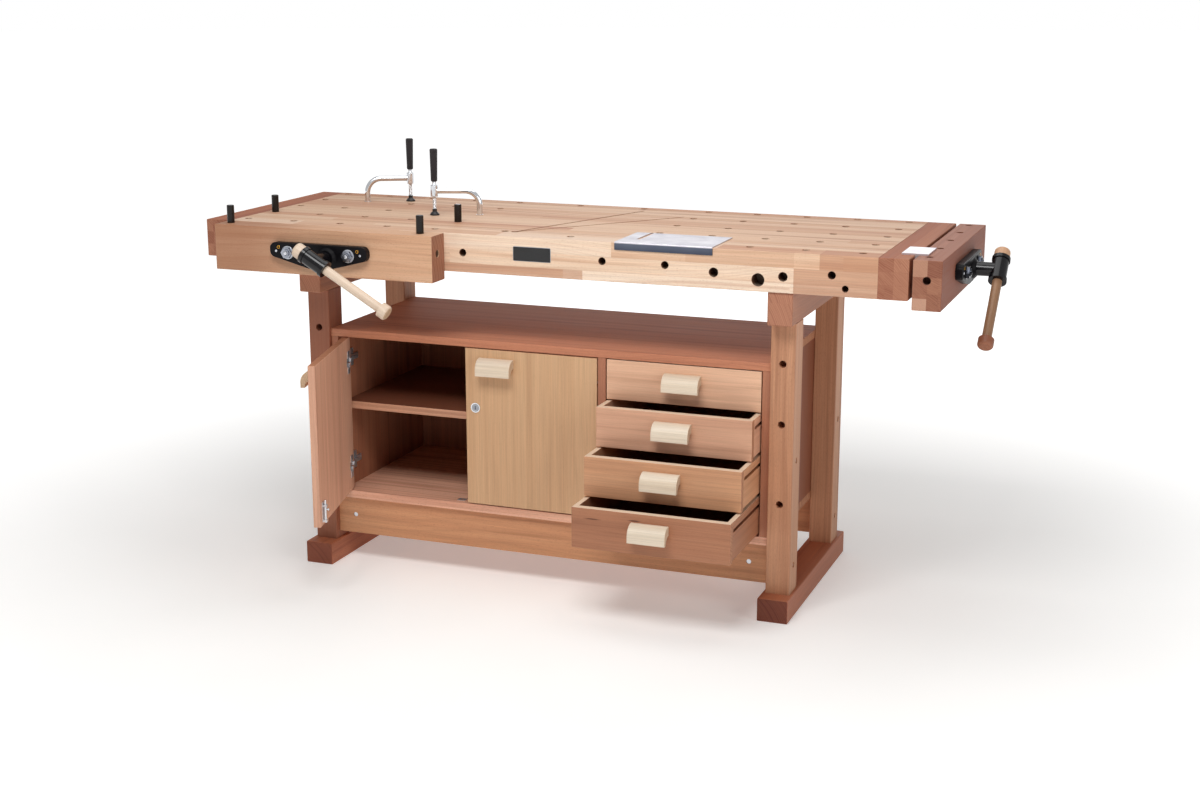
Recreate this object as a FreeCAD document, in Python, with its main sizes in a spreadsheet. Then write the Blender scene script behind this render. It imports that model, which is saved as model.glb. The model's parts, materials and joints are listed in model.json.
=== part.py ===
import FreeCAD, Part
import math
import os
import re

import Sketcher

# Woodworking bench: a laminated beech top with dog holes, a front vise and an end vise,
# on two trestles that carry a cabinet with two doors and four drawers.
# Working datum: x from the middle between the trestles, y from the front face of the top,
# z from the floor. The part's own origin lies at (origin_along, origin_back) on the floor.

os.makedirs("parts", exist_ok=True)
doc = FreeCAD.newDocument("woodworking_bench")
sheet = doc.addObject("Spreadsheet::Sheet", "sizes")

driving = {
    # part origin
    "origin_along": 88.55, "origin_back": 167.34,
    # top
    "bench_height": 900, "top_depth": 607, "top_left": 910, "top_right": 843,
    "cap_thick": 69.5, "rail_tall": 95, "rail_thick": 64, "back_rail_thick": 46,
    "panel_thick": 45, "top_edge_round": 2,
    "dog_dia": 19, "dog_pitch": 133.5, "dog_first_row": 50, "dog_right_inset": 46,
    "dog_left_inset": 25, "dog_middle_along": 81, "dog_middle_back": -102,
    "front_hole_deep": 44, "groove_wide": 6, "groove_deep": 3.8, "pocket_deep": 12,
    # steel work plate on the front edge of the top
    "plate_left": 212.5, "plate_long": 242, "plate_back": 160, "plate_thick": 2.5,
    "plate_drop": 17, "plate_bend": 2, "plate_slot_wide": 9, "plate_slot_from": 55,
    "plate_slot_long": 100, "plate_slot_along": 40,
    # trestles
    "trestle_inner": 1174, "leg_wide": 60, "leg_deep": 70, "leg_front": 44,
    "leg_back_inset": 67, "foot_wide": 76, "foot_tall": 58, "foot_back_inset": 20,
    "beam_tall": 79, "beam_front": 4.5, "beam_back_inset": 25, "tenon_wide": 24,
    "tenon_deep": 46, "tenon_long": 35, "joint_gap": 0.2, "frame_round": 3,
    "leg_hole_dia": 18, "leg_hole_deep": 40, "leg_hole_high": 628, "leg_hole_mid": 481,
    "leg_hole_low": 284,
    "stretcher_low": 76, "stretcher_tall": 99, "stretcher_thick": 32,
    "bolt_dia": 8, "bolt_head_dia": 15, "bolt_head_tall": 6, "bolt_sink": 9,
    "bolt_reach": 48, "bolt_room": 4, "cross_nut_dia": 12, "cross_nut_inset": 2,
    "cabinet_bolt_high": 388, "cabinet_bolt_reach": 14, "bolt_gap": 0.25,
    # cabinet
    "cabinet_front": 52, "cabinet_back_inset": 75, "board": 20, "cabinet_top": 626,
    "back_thick": 6, "divider_from_right": 416.5, "shelf_high": 430, "shelf_front": 80,
    "door_thick": 18, "door_reveal": 2.5, "door_gap": 3, "door_edge_round": 1.5,
    "pivot_in": 12, "pivot_deep": 8, "door_open_angle": 75,
    "cup_dia": 35, "cup_deep": 12, "cup_edge": 22.5, "cup_from_end": 64,
    "cup_wall": 1.5, "cup_ear_wide": 21.7, "cup_ear_tall": 59.5,
    "hinge_pin_dia": 2.6, "hinge_pin_long": 24.5, "hinge_eye_dia": 6, "hinge_link_wide": 5,
    "hinge_gap": 0.05, "hinge_eye_clear": 0.3, "hinge_notch_deep": 3.8, "hinge_notch_gap": 0.5,
    "hinge_arm_front": 26, "hinge_arm_long": 58, "hinge_arm_wide": 11, "hinge_arm_tall": 11,
    "hinge_hook_wide": 21, "hinge_hook_deep": 11, "hinge_plate_thick": 3,
    "hinge_plate_back": 14, "hinge_plate_tall": 14, "hinge_wing_back": 32,
    "hinge_wing_deep": 14, "hinge_wing_tall": 46,
    # pulls
    "pull_wide": 93, "pull_tall": 41.5, "pull_deep": 30, "pull_hollow": 19,
    "pull_front_flat": 14, "pull_round": 1.5, "pull_drop": 22, "door_pull_inset": 39,
    # lock and bolt
    "lock_dia": 19, "lock_rim_dia": 25, "lock_rim_thick": 2.5, "lock_inset": 27,
    "lock_high": 451, "lock_reach": 4, "lock_gap": 0.05, "lock_cam_long": 44,
    "lock_cam_thick": 2.5, "lock_cam_tall": 15.2, "lock_cam_off": 1.5,
    "keyway_wide": 2, "keyway_tall": 9, "keyway_deep": 3,
    "latch_inset": 24, "latch_dia": 7, "latch_long": 57.5, "latch_lift": 9, "latch_proud": 2,
    "latch_round": 0.9, "latch_gap": 0.1, "latch_stand": 6.5, "latch_plate_wide": 15.4,
    "latch_plate_long": 50, "latch_plate_thick": 2, "latch_block_tall": 6,
    "latch_block_high": 38, "latch_block_wall": 2, "latch_block_roof": 1.5,
    "latch_stem_high": 32, "latch_stem_dia": 4.2, "latch_stem_long": 7, "latch_knob_long": 3.5,
    "keeper_wide": 22, "keeper_deep": 18, "keeper_thick": 1.5, "keeper_hole_dia": 9,
    "keeper_hole_deep": 15,
    # drawers
    "drawer_count": 4, "drawer_gap": 3, "drawer_side": 12, "drawer_bottom": 5,
    "drawer_short": 30, "drawer_side_gap": 3, "drawer_side_drop": 0.5, "drawer_side_rise": 6,
    "bottom_rise": 6, "bottom_groove_deep": 4, "groove_height": 9, "groove_depth": 7,
    "groove_drop": 27, "groove_from": 6, "runner_gap": 0.3, "runner_from": 7,
    "runner_short": 15,
    "drawer_open_1": 0, "drawer_open_2": 73, "drawer_open_3": 154, "drawer_open_4": 236,
    # vises
    "front_vise_along": -537.5, "front_jaw_long": 609, "jaw_tall": 115, "front_jaw_thick": 69.5,
    "end_jaw_thick": 66, "front_jaw_gap": 0.5, "end_jaw_gap": 8.6, "jaw_round": 2,
    "vise_travel": 150, "rod_half_span": 84.5, "rod_dia": 18, "rod_drop": 58,
    "screw_dia": 24, "screw_drop": 66, "screw_aside": 25, "running_gap": 0.05,
    "flange_half": 135.5, "flange_thick": 18, "flange_drop": 34, "flange_end_tall": 34,
    "flange_deep": 62, "flange_foot_half": 26, "flange_round": 16, "flange_edge": 2,
    "boss_dia": 52, "boss_front_dia": 40, "boss_thick": 7, "neck_dia": 34, "neck_gap": 0.3,
    "hub_reach": 60,
    "hub_dia": 39, "hub_long": 70, "hub_collar_dia": 44, "hub_collar_long": 9,
    "handle_dia": 23, "handle_near": 60, "handle_far": 229, "knob_dia": 38, "knob_long": 23,
    "knob_round": 8, "handle_gap": 0.08, "front_handle_angle": -30.6, "end_handle_angle": 222.5,
    "rod_nut_wide": 26, "rod_nut_thick": 9, "rod_end_long": 3, "wall_hole_gap": 1.5,
    "fixed_plate_thick": 12, "fixed_plate_half": 112, "fixed_plate_top": 46.5,
    "fixed_plate_tall": 46, "bush_dia": 23, "bush_long": 8, "nut_boss_dia": 38,
    "nut_boss_long": 18, "tie_bar_thick": 8, "tie_bar_tall": 36, "travel_spare": 10,
    "jaw_dog_inset": 33.5, "jaw_dog_end_inset": 26.5, "jaw_dog_end_inset_right": 48.5,
    "jaw_end_hole_drop": 46, "jaw_end_hole_deep": 28, "jaw_end_hole_out": 5,
    "end_jaw_dog_inset": 27,
    "liner_from": 62, "liner_long": 100, "liner_thick": 4.2, "liner_flange": 30,
    "liner_flange_moving": 22.5, "liner_tall": 70,
    # dogs and holdfasts
    "dog_fit_gap": 0.08, "dog_long": 105, "dog_proud": 45, "dog_edge": 1.2,
    "dog_waist": 1.2, "dog_waist_long": 14, "dog_waist_from": 31.5,
    "arm_dia": 15, "sleeve_long": 70, "sleeve_proud": 2, "arm_level": 64, "arm_bend": 38,
    "arm_reach": 118, "arm_boss_dia": 20, "arm_boss_tall": 30, "arm_boss_round": 1.5,
    "clamp_screw_dia": 9.5, "clamp_screw_gap": 0.06,
    "grip_low": 88, "grip_long": 85, "grip_low_dia": 17, "grip_high_dia": 20.5, "grip_edge": 2,
    "pad_dia": 25, "pad_neck_dia": 12, "pad_tall": 16, "pad_rim": 3, "pad_cone_tall": 9.6,
    "pad_lift": 0.3,
    "first_arm_angle": 27.9, "second_arm_angle": 200.8,
}

# Holes in the front face of the top: distance along, distance down and diameter of each.
front_holes = {
    "a": (-183.5, 46.5, 19), "b": (180.5, 46.5, 19), "c": (338, 46.5, 19),
    "d": (457.5, 56.5, 23), "e": (564.5, 67.5, 31), "f": (623.5, 57, 22.5),
    "g": (737.5, 46.5, 19), "k": (769.5, 76, 16),
}
for letter, (along, down, wide) in front_holes.items():
    driving[f"face_hole_{letter}_along"] = along
    driving[f"face_hole_{letter}_down"] = down
    driving[f"face_hole_{letter}_dia"] = wide

# Two round pockets in the top, and the far ends of the two grooves that start at the second.
top_points = {"pocket_one": (-103.5, 77), "pocket_two": (-77, 77),
              "groove_one_end": (95.5, 544), "groove_two_end": (229.5, 468)}
for name, (along, back) in top_points.items():
    driving[f"{name}_along"] = along
    driving[f"{name}_back"] = back

for row, (alias, number) in enumerate(driving.items(), start=1):
    sheet.set(f"A{row}", alias)
    sheet.set(f"B{row}", str(number))
    sheet.setAlias(f"B{row}", alias)
doc.recompute()


# ---------------------------------------------------------------- helpers

def full(text):
    """The expression with each size name written as a reference into the sheet."""
    return re.sub(r"[a-z_][a-z_0-9]*",
                  lambda word: "sizes." + word.group(0) if word.group(0) in driving
                  else word.group(0), str(text))


def value(text):
    return float(sheet.evalExpression(full(text)))


def bind(thing, **settings):
    for path, text in settings.items():
        thing.setExpression(path.replace("__", "."), full(text))
    return thing


turn_to = {"x": FreeCAD.Rotation(FreeCAD.Vector(0, 1, 0), 90),
           "y": FreeCAD.Rotation(FreeCAD.Vector(1, 0, 0), -90),
           "z": FreeCAD.Rotation()}
upward = FreeCAD.Vector(0, 0, 1)


def place(thing, at, rotation=None):
    """Puts a piece at a point given as three expressions, with an optional rotation."""
    thing.Placement = FreeCAD.Placement(FreeCAD.Vector(), rotation or FreeCAD.Rotation())
    return bind(thing, Placement__Base__x=at[0], Placement__Base__y=at[1],
                Placement__Base__z=at[2])


def box(size, at, name="block"):
    block = doc.addObject("Part::Box", name)
    bind(block, Length=size[0], Width=size[1], Height=size[2])
    return place(block, at)


def rod(diameter, length, at, axis="z", name="rod"):
    bar = doc.addObject("Part::Cylinder", name)
    bind(bar, Radius=f"({diameter}) / 2", Height=length)
    return place(bar, at, turn_to[axis])


def group(pieces, name="group"):
    if len(pieces) == 1:
        return pieces[0]
    bundle = doc.addObject("Part::Compound", name)
    bundle.Links = pieces
    return bundle


def cut(base, tools, name="cut"):
    result = doc.addObject("Part::Cut", name)
    result.Base = base
    result.Tool = group(tools)
    return result


def fuse(pieces, name="joined"):
    result = doc.addObject("Part::MultiFuse", name)
    result.Shapes = pieces
    result.Refine = True
    return result


def newBody(name):
    return doc.addObject("PartDesign::Body", name)


def newSketch(body, role, name):
    plane = [item for item in body.Origin.OriginFeatures if item.Role == role][0]
    sketch = body.newObject("Sketcher::SketchObject", name)
    sketch.AttachmentSupport = [(plane, "")]
    sketch.MapMode = "FlatFace"
    return sketch


def drawOutline(body, role, points, arcs=None):
    """A closed sketch through points given as pairs of expressions.

    arcs maps the number of a side to a middle point that it bulges through."""
    sketch = newSketch(body, role, "outline")
    corners = [FreeCAD.Vector(value(across), value(up), 0) for across, up in points]
    for side, start in enumerate(corners):
        finish = corners[(side + 1) % len(corners)]
        if arcs and side in arcs:
            middle = FreeCAD.Vector(value(arcs[side][0]), value(arcs[side][1]), 0)
            sketch.addGeometry(Part.Arc(start, middle, finish), False)
        else:
            sketch.addGeometry(Part.LineSegment(start, finish), False)
    if arcs:
        return sketch
    for side in range(len(corners)):
        sketch.addConstraint(Sketcher.Constraint("Coincident", side, 2,
                                                 (side + 1) % len(corners), 1))
    for side, (across, up) in enumerate(points):
        for kind, text in (("DistanceX", across), ("DistanceY", up)):
            limit = sketch.addConstraint(Sketcher.Constraint(kind, -1, 1, side, 1, value(text)))
            sketch.setExpression(f"Constraints[{limit}]", full(text))
    return sketch


def pad(body, sketch, length, reverse=False, middle=False):
    feature = body.newObject("PartDesign::Pad", "pad")
    feature.Profile = sketch
    bind(feature, Length=length)
    feature.Reversed = reverse
    feature.Midplane = middle
    doc.recompute()
    return feature


def spin(body, sketch, axis):
    """A full turn of a half profile about one of its sketch's own axes."""
    feature = body.newObject("PartDesign::Revolution", "turned")
    feature.Profile = sketch
    feature.ReferenceAxis = (sketch, [axis])
    feature.Angle = 360
    doc.recompute()
    return feature


def turned(name, points, arcs=None):
    """A body of revolution about its own z axis, from a half profile."""
    body = newBody(name)
    spin(body, drawOutline(body, "XZ_Plane", points, arcs), "V_Axis")
    return body


def roundEdges(body, base, radius, wanted, kind="PartDesign::Fillet"):
    """Rounds, or chamfers, the edges of a feature that the test accepts."""
    edges = [f"Edge{number}" for number, edge in enumerate(base.Shape.Edges, start=1)
             if wanted(edge)]
    feature = body.newObject(kind, "eased")
    feature.Base = (base, edges)
    bind(feature, **{"Radius" if kind.endswith("Fillet") else "Size": radius})
    doc.recompute()
    return feature


def easeEdges(base, radius, wanted, name="eased"):
    """The same for a piece made of primitives."""
    doc.recompute()
    size = value(radius)
    feature = doc.addObject("Part::Fillet", name)
    feature.Base = base
    feature.Edges = [(number, size, size) for number, edge
                     in enumerate(base.Shape.Edges, start=1) if wanted(edge)]
    return feature


def isUpright(edge):
    direction = edge.tangentAt(edge.FirstParameter)
    return edge.Curve.TypeId == "Part::GeomLine" and abs(direction.z) > 0.99


def isLevel(edge):
    direction = edge.tangentAt(edge.FirstParameter)
    return edge.Curve.TypeId == "Part::GeomLine" and abs(direction.z) < 0.01


def isStraight(edge):
    return edge.Curve.TypeId == "Part::GeomLine"


def isRound(edge):
    return edge.Curve.TypeId == "Part::GeomCircle"


def runsAlong(edge):
    return edge.BoundBox.XLength > long_edge


nodes = []


def node(name, thing):
    """Names a finished sub-part and moves it into the part's own frame."""
    thing.Label = name
    at = thing.Placement.Base
    for letter, shift in (("x", "origin_along"), ("y", "origin_back")):
        old = dict(thing.ExpressionEngine).get(f".Placement.Base.{letter}")
        old = old or dict(thing.ExpressionEngine).get(f"Placement.Base.{letter}")
        start = old if old else repr(getattr(at, letter))
        thing.setExpression(f"Placement.Base.{letter}", f"({start}) - sizes.{shift}")
    nodes.append(thing)
    return thing


# ---------------------------------------------------------------- lines that pieces share

leg_centre = "(trestle_inner / 2 + leg_wide / 2)"
rail_low = "(bench_height - rail_tall)"
beam_low = f"({rail_low} - beam_tall)"
main_left = "(-top_left + cap_thick)"
main_long = "(top_right + top_left - cap_thick)"
panel_deep = "(top_depth - rail_thick - back_rail_thick)"
cap_right = "(top_right + cap_thick)"
stretcher_top = "(stretcher_low + stretcher_tall)"
floor_high = f"({stretcher_top} + board)"
ceiling = "(cabinet_top - board)"
inside_left = "(-trestle_inner / 2 + board)"
inside_right = "(trestle_inner / 2 - board)"
divider_left = f"({inside_right} - divider_from_right)"
foot_long = "(top_depth - foot_back_inset)"
beam_long = "(top_depth - beam_back_inset - beam_front)"
cabinet_back = "(top_depth - cabinet_back_inset)"
cabinet_deep = f"({cabinet_back} - cabinet_front)"
front_leg_middle = "(leg_front + leg_deep / 2)"
back_leg_middle = "(top_depth - leg_back_inset - leg_deep / 2)"
bolt_high = "(stretcher_low + stretcher_tall / 2)"
dog_rows_across = 5
dog_columns_each_end = 5
row_pitch = f"((top_depth - dog_first_row - back_rail_thick / 2) / {dog_rows_across - 1})"
dog_rows = [f"(dog_first_row + {row} * {row_pitch})" for row in range(dog_rows_across)]
dog_right_columns = [f"(top_right - dog_right_inset - {step} * dog_pitch)"
                     for step in range(dog_columns_each_end)]
dog_left_columns = [f"({main_left} + dog_left_inset + {step} * dog_pitch)"
                    for step in range(dog_columns_each_end)]
through = 5        # how far a cutting tool runs past the face that it opens
bite = 1           # how far two joined forms run into each other
long_edge = 100    # an edge longer than this runs along a board


# ---------------------------------------------------------------- trestles

def makeFrame():
    feet = []
    legs = []
    beams = []
    wall = "(tenon_wide + 2 * joint_gap)"
    deep = "(tenon_deep + 2 * joint_gap)"
    for side in (-1, 1):
        centre = f"({side} * {leg_centre})"
        foot = box(("foot_wide", foot_long, "foot_tall"), (f"{centre} - foot_wide / 2", 0, 0))
        beam = box(("leg_wide", beam_long, "beam_tall"),
                   (f"{centre} - leg_wide / 2", "beam_front", beam_low))
        mortises = []
        for middle in (front_leg_middle, back_leg_middle):
            for level in ("foot_tall - tenon_long - joint_gap", beam_low):
                mortises.append(box((wall, deep, "tenon_long + joint_gap"),
                                    (f"{centre} - {wall} / 2", f"{middle} - {deep} / 2", level)))
            post = box(("leg_wide", "leg_deep", f"{beam_low} - foot_tall"),
                       (f"{centre} - leg_wide / 2", f"{middle} - leg_deep / 2", "foot_tall"))
            post = easeEdges(post, "frame_round", isUpright)
            tenon = box(("tenon_wide", "tenon_deep", f"{beam_low} - foot_tall + 2 * tenon_long"),
                        (f"{centre} - tenon_wide / 2", f"{middle} - tenon_deep / 2",
                         "foot_tall - tenon_long"))
            legs.append(drillLeg(fuse([post, tenon]), side, centre, middle))
        feet.append(cut(easeEdges(foot, "frame_round", isStraight), mortises[0::2]))
        beams.append(cut(easeEdges(beam, "frame_round", isStraight), mortises[1::2]))
    node("feet", group(feet, "feet"))
    node("legs", group(legs, "legs"))
    node("beams", group(beams, "beams"))


def drillLeg(leg, side, centre, middle):
    """Round holes in the front faces, and counterbored bolt holes through from the side."""
    tools = []
    if middle == front_leg_middle:
        for level in ("leg_hole_high", "leg_hole_mid", "leg_hole_low"):
            tools.append(rod("leg_hole_dia", f"leg_hole_deep + {through}",
                             (centre, f"leg_front - {through}", level), "y"))
    outer = f"({centre} + {side} * leg_wide / 2)"
    for level in (bolt_high, "cabinet_bolt_high"):
        start = f"{outer} - leg_wide" if side > 0 else outer
        tools.append(rod("bolt_dia + 2 * bolt_gap", f"leg_wide + {through}",
                         (f"{start} - {through} / 2", middle, level), "x"))
        sunk = f"{outer} - bolt_sink" if side > 0 else f"{outer} - {through}"
        tools.append(rod("bolt_head_dia + 2 * bolt_gap", f"bolt_sink + {through}",
                         (sunk, middle, level), "x"))
    return cut(leg, tools)


def makeStretchers():
    reach = "(bolt_reach + cross_nut_dia / 2 + bolt_room)"
    for name, middle in (("front_stretcher", front_leg_middle),
                         ("back_stretcher", back_leg_middle)):
        board = box(("trestle_inner", "stretcher_thick", "stretcher_tall"),
                    ("-trestle_inner / 2", f"{middle} - stretcher_thick / 2", "stretcher_low"))
        tools = []
        for side in (-1, 1):
            start = "-trestle_inner / 2" if side < 0 else f"trestle_inner / 2 - {reach}"
            tools.append(rod("bolt_dia + 2 * bolt_gap", reach, (start, middle, bolt_high), "x"))
            tools.append(rod("cross_nut_dia + 2 * bolt_gap", f"stretcher_thick + 2 * {through}",
                             (f"{side} * (trestle_inner / 2 - bolt_reach)",
                              f"{middle} - stretcher_thick / 2 - {through}", bolt_high), "y"))
        node(name, cut(board, tools))


def makeFrameBolts():
    """A long bolt into a cross nut at each end of the stretchers, and one into each cabinet side."""
    pieces = []
    seat = "(trestle_inner / 2 + leg_wide - bolt_sink)"
    for side in (-1, 1):
        for middle in (front_leg_middle, back_leg_middle):
            for level, depth in ((bolt_high, "bolt_reach"),
                                 ("cabinet_bolt_high", "cabinet_bolt_reach")):
                length = f"(leg_wide - bolt_sink + {depth})"
                start = f"{seat} - {length}" if side > 0 else f"-{seat}"
                shank = rod("bolt_dia", length, (start, middle, level), "x")
                head_at = seat if side > 0 else f"-{seat} - bolt_head_tall"
                head = rod("bolt_head_dia", "bolt_head_tall", (head_at, middle, level), "x")
                pieces.append(fuse([shank, head]))
            nut = rod("cross_nut_dia", "stretcher_thick - 2 * cross_nut_inset",
                      (f"{side} * (trestle_inner / 2 - bolt_reach)",
                       f"{middle} - stretcher_thick / 2 + cross_nut_inset", bolt_high), "y")
            hole = rod("bolt_dia", "2 * cross_nut_dia",
                       (f"{side} * (trestle_inner / 2 - bolt_reach) - cross_nut_dia",
                        middle, bolt_high), "x")
            pieces.append(cut(nut, [hole]))
    node("frame_bolts", group(pieces, "frame_bolts"))


# ---------------------------------------------------------------- top

def dogHole(column, row, low, tall):
    return rod("dog_dia", f"{tall} + 2 * {through}", (column, row, f"{low} - {through}"))


def viseWallHoles(wall, axis):
    """Clearance holes for the guide rods and the screw of a vise in the wall they pass through."""
    rods = [("rod_half_span", "rod_drop", "rod_dia"), ("-rod_half_span", "rod_drop", "rod_dia"),
            ("screw_aside", "screw_drop", "screw_dia")]
    tools = []
    for aside, drop, wide in rods:
        level = f"bench_height - {drop}"
        if axis == "y":
            at = (f"front_vise_along + {aside}", f"-{through}", level)
        else:
            at = (f"top_right - {through}", f"top_depth / 2 + {aside}", level)
        tools.append(rod(f"{wide} + 2 * wall_hole_gap", f"{wall} + 2 * {through}", at, axis))
    return tools


def makeTop():
    columns = dog_left_columns + dog_right_columns
    edges = ["dog_middle_along", "dog_middle_back"]
    panel_low = "(bench_height - panel_thick)"

    panel = box((main_long, panel_deep, "panel_thick"), (main_left, "rail_thick", panel_low))
    tools = [dogHole(column, row, panel_low, "panel_thick")
             for column in columns for row in dog_rows[1:-1]]
    for pocket in ("pocket_one", "pocket_two"):
        tools.append(rod("dog_dia", f"pocket_deep + {through}",
                         (f"{pocket}_along", f"{pocket}_back", "bench_height - pocket_deep")))
    tools += [groove("groove_one_end"), groove("groove_two_end")]
    node("top_panel", cut(panel, tools))

    rail = box((main_long, "rail_thick", "rail_tall"), (main_left, 0, rail_low))
    front = value("top_edge_round")
    rail = easeEdges(rail, "top_edge_round",
                     lambda edge: runsAlong(edge) and edge.BoundBox.YMax < front)
    tools = [dogHole(column, dog_rows[0], rail_low, "rail_tall")
             for column in columns + edges[:1]]
    for letter in front_holes:
        tools.append(rod(f"face_hole_{letter}_dia", f"front_hole_deep + {through}",
                         (f"face_hole_{letter}_along", f"-{through}",
                          f"bench_height - face_hole_{letter}_down"), "y"))
    tools += viseWallHoles("rail_thick", "y")
    node("front_rail", cut(rail, tools))

    rail = box((main_long, "back_rail_thick", "rail_tall"),
               (main_left, "top_depth - back_rail_thick", rail_low))
    tools = [dogHole(column, dog_rows[-1], rail_low, "rail_tall") for column in columns + edges]
    node("back_rail", cut(rail, tools))

    caps = []
    for left in ("-top_left", "top_right"):
        cap = box(("cap_thick", "top_depth", "rail_tall"), (left, 0, rail_low))
        caps.append(easeEdges(cap, "top_edge_round", isLevel))
    node("left_end_cap", caps[0])
    node("right_end_cap", cut(caps[1], viseWallHoles("cap_thick", "x")))


def groove(end):
    """A narrow round-ended groove from the second pocket to its far end."""
    start = FreeCAD.Vector(value("pocket_two_along"), value("pocket_two_back"), 0)
    finish = FreeCAD.Vector(value(f"{end}_along"), value(f"{end}_back"), 0)
    run = finish - start
    length = (f"sqrt(({end}_along - pocket_two_along)^2 + ({end}_back - pocket_two_back)^2)")
    channel = doc.addObject("Part::Box", "channel")
    bind(channel, Length=length, Width="groove_wide", Height=f"groove_deep + {through}")
    centred = group([channel, rod("groove_wide", f"groove_deep + {through}",
                                  (length, "groove_wide / 2", 0))], "channel")
    turn = math.degrees(math.atan2(run.y, run.x))
    slope = f"(groove_wide / 2 / ({length}))"
    return place(centred, (f"pocket_two_along + {slope} * ({end}_back - pocket_two_back)",
                           f"pocket_two_back - {slope} * ({end}_along - pocket_two_along)",
                           "bench_height - groove_deep"), FreeCAD.Rotation(upward, turn))


def makeWorkPlate():
    """Folded steel plate over the front edge, with a slot for a stop."""
    top = box(("plate_long", "plate_back + plate_thick", "plate_thick"),
              ("plate_left", "-plate_thick", "bench_height"))
    lip = box(("plate_long", "plate_thick", "plate_drop + plate_thick"),
              ("plate_left", "-plate_thick", "bench_height - plate_drop"))
    upper = value("bench_height + plate_thick / 2")
    outer = -value("plate_thick / 2")
    fold = easeEdges(fuse([top, lip]), "plate_bend",
                     lambda edge: runsAlong(edge) and edge.BoundBox.YMax < outer
                     and edge.BoundBox.ZMin > upper)
    slot_low = f"bench_height - {through}"
    slot_tall = f"plate_thick + 2 * {through}"
    slot_left = "(plate_left + plate_slot_along)"
    slot = box(("plate_slot_wide", "plate_slot_long", slot_tall),
               (f"{slot_left} - plate_slot_wide / 2", "plate_slot_from", slot_low))
    ends = [rod("plate_slot_wide", slot_tall, (slot_left, end, slot_low))
            for end in ("plate_slot_from", "plate_slot_from + plate_slot_long")]
    node("work_plate", cut(fold, [fuse([slot] + ends)]))


# ---------------------------------------------------------------- cabinet

def makeCabinet():
    side_tall = f"({ceiling} - {floor_high})"
    sides = [box(("board", cabinet_deep, side_tall), (left, "cabinet_front", floor_high))
             for left in ("-trestle_inner / 2", inside_right)]
    holes = []
    for side in (-1, 1):
        for middle in (front_leg_middle, back_leg_middle):
            left = inside_right if side > 0 else "-trestle_inner / 2"
            holes.append(rod("bolt_dia + 2 * bolt_gap", "board",
                             (left, middle, "cabinet_bolt_high"), "x"))
    node("cabinet_sides", group([cut(sides[0], holes[:2]), cut(sides[1], holes[2:])]))
    floor = box(("trestle_inner", cabinet_deep, "board"),
                ("-trestle_inner / 2", "cabinet_front", stretcher_top))
    along, back = latchSpot()
    node("cabinet_floor", cut(floor, [rod("keeper_hole_dia", f"keeper_hole_deep + {through}",
                                          (along, back, f"{floor_high} - keeper_hole_deep"))]))
    lid = box(("trestle_inner", cabinet_deep, "board"),
              ("-trestle_inner / 2", "cabinet_front", ceiling))
    front = value("cabinet_front + door_edge_round")
    node("cabinet_top", easeEdges(lid, "door_edge_round",
                                  lambda edge: runsAlong(edge) and edge.BoundBox.YMax < front))
    inner_deep = f"({cabinet_deep} - back_thick)"
    node("cabinet_divider", box(("board", inner_deep, side_tall),
                                (divider_left, "cabinet_front", floor_high)))
    node("cabinet_back", box((f"{inside_right} - {inside_left}", "back_thick", side_tall),
                             (inside_left, f"{cabinet_back} - back_thick", floor_high)))
    shelf = box((f"{divider_left} - {inside_left}", f"{cabinet_back} - back_thick - shelf_front",
                 "board"), (inside_left, "shelf_front", "shelf_high - board"))
    front = value("shelf_front + door_edge_round")
    node("cupboard_shelf", easeEdges(shelf, "door_edge_round",
                                     lambda edge: runsAlong(edge) and edge.BoundBox.YMax < front))


# ---------------------------------------------------------------- doors

opening_wide = f"({divider_left} - {inside_left})"
door_wide = f"(({opening_wide} - 3 * door_gap) / 2)"
door_low = f"({floor_high} + door_reveal)"
door_tall = f"({ceiling} - {floor_high} - 2 * door_reveal)"
outer_face = "(-pivot_deep)"
inner_face = "(door_thick - pivot_deep)"


def onDoor(side, distance):
    """The place across a door, measured from its free edge, in the door's own frame."""
    return f"({side} * ({door_wide} - pivot_in - ({distance})))"


def doorPlace(side):
    """A door turns about a pivot inside its own thickness, as on a cup hinge."""
    if side > 0:
        along = f"{inside_left} + door_gap + pivot_in"
        turn = -value("door_open_angle")
    else:
        along = f"{divider_left} - door_gap - pivot_in"
        turn = 0
    return (along, "cabinet_front + pivot_deep", door_low), FreeCAD.Rotation(upward, turn)


def makeDoor(prefix, side):
    """side is +1 for the door that hinges at the left, -1 for the one that hinges at the right."""
    at, turn = doorPlace(side)
    hinge_edge = f"(-{side} * pivot_in)"
    free_edge = onDoor(side, 0)
    left = hinge_edge if side > 0 else free_edge
    panel = box((door_wide, "door_thick", door_tall), (left, outer_face, 0))
    panel = easeEdges(panel, "door_edge_round", isStraight)
    cup_at = f"({hinge_edge} + {side} * cup_edge)"
    tools = []
    cups = []
    for level in ("cup_from_end", f"{door_tall} - cup_from_end"):
        tools.append(rod("cup_dia + 2 * joint_gap", f"cup_deep + {through}",
                         (cup_at, f"{inner_face} - cup_deep", level), "y"))
        notch = hingeNotch(side, level)
        tools.append(notch)
        cups.append(hingeCup(cup_at, level, notch))
    if side < 0:
        tools.append(rod("lock_dia + 2 * lock_gap", f"door_thick + 2 * {through}",
                         (onDoor(side, "lock_inset"), f"{outer_face} - {through}",
                          f"lock_high - {door_low}"), "y"))
    node(f"{prefix}_door", place(cut(panel, tools), at, turn))
    if side > 0:
        cups.append(latchGuide())
    node(f"{prefix}_door_fittings", place(group(cups), at, turn))
    makePull(f"{prefix}_door_pull", at, turn,
             onDoor(side, "door_pull_inset + pull_wide / 2"), outer_face,
             f"{door_tall} - pull_drop")


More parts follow.
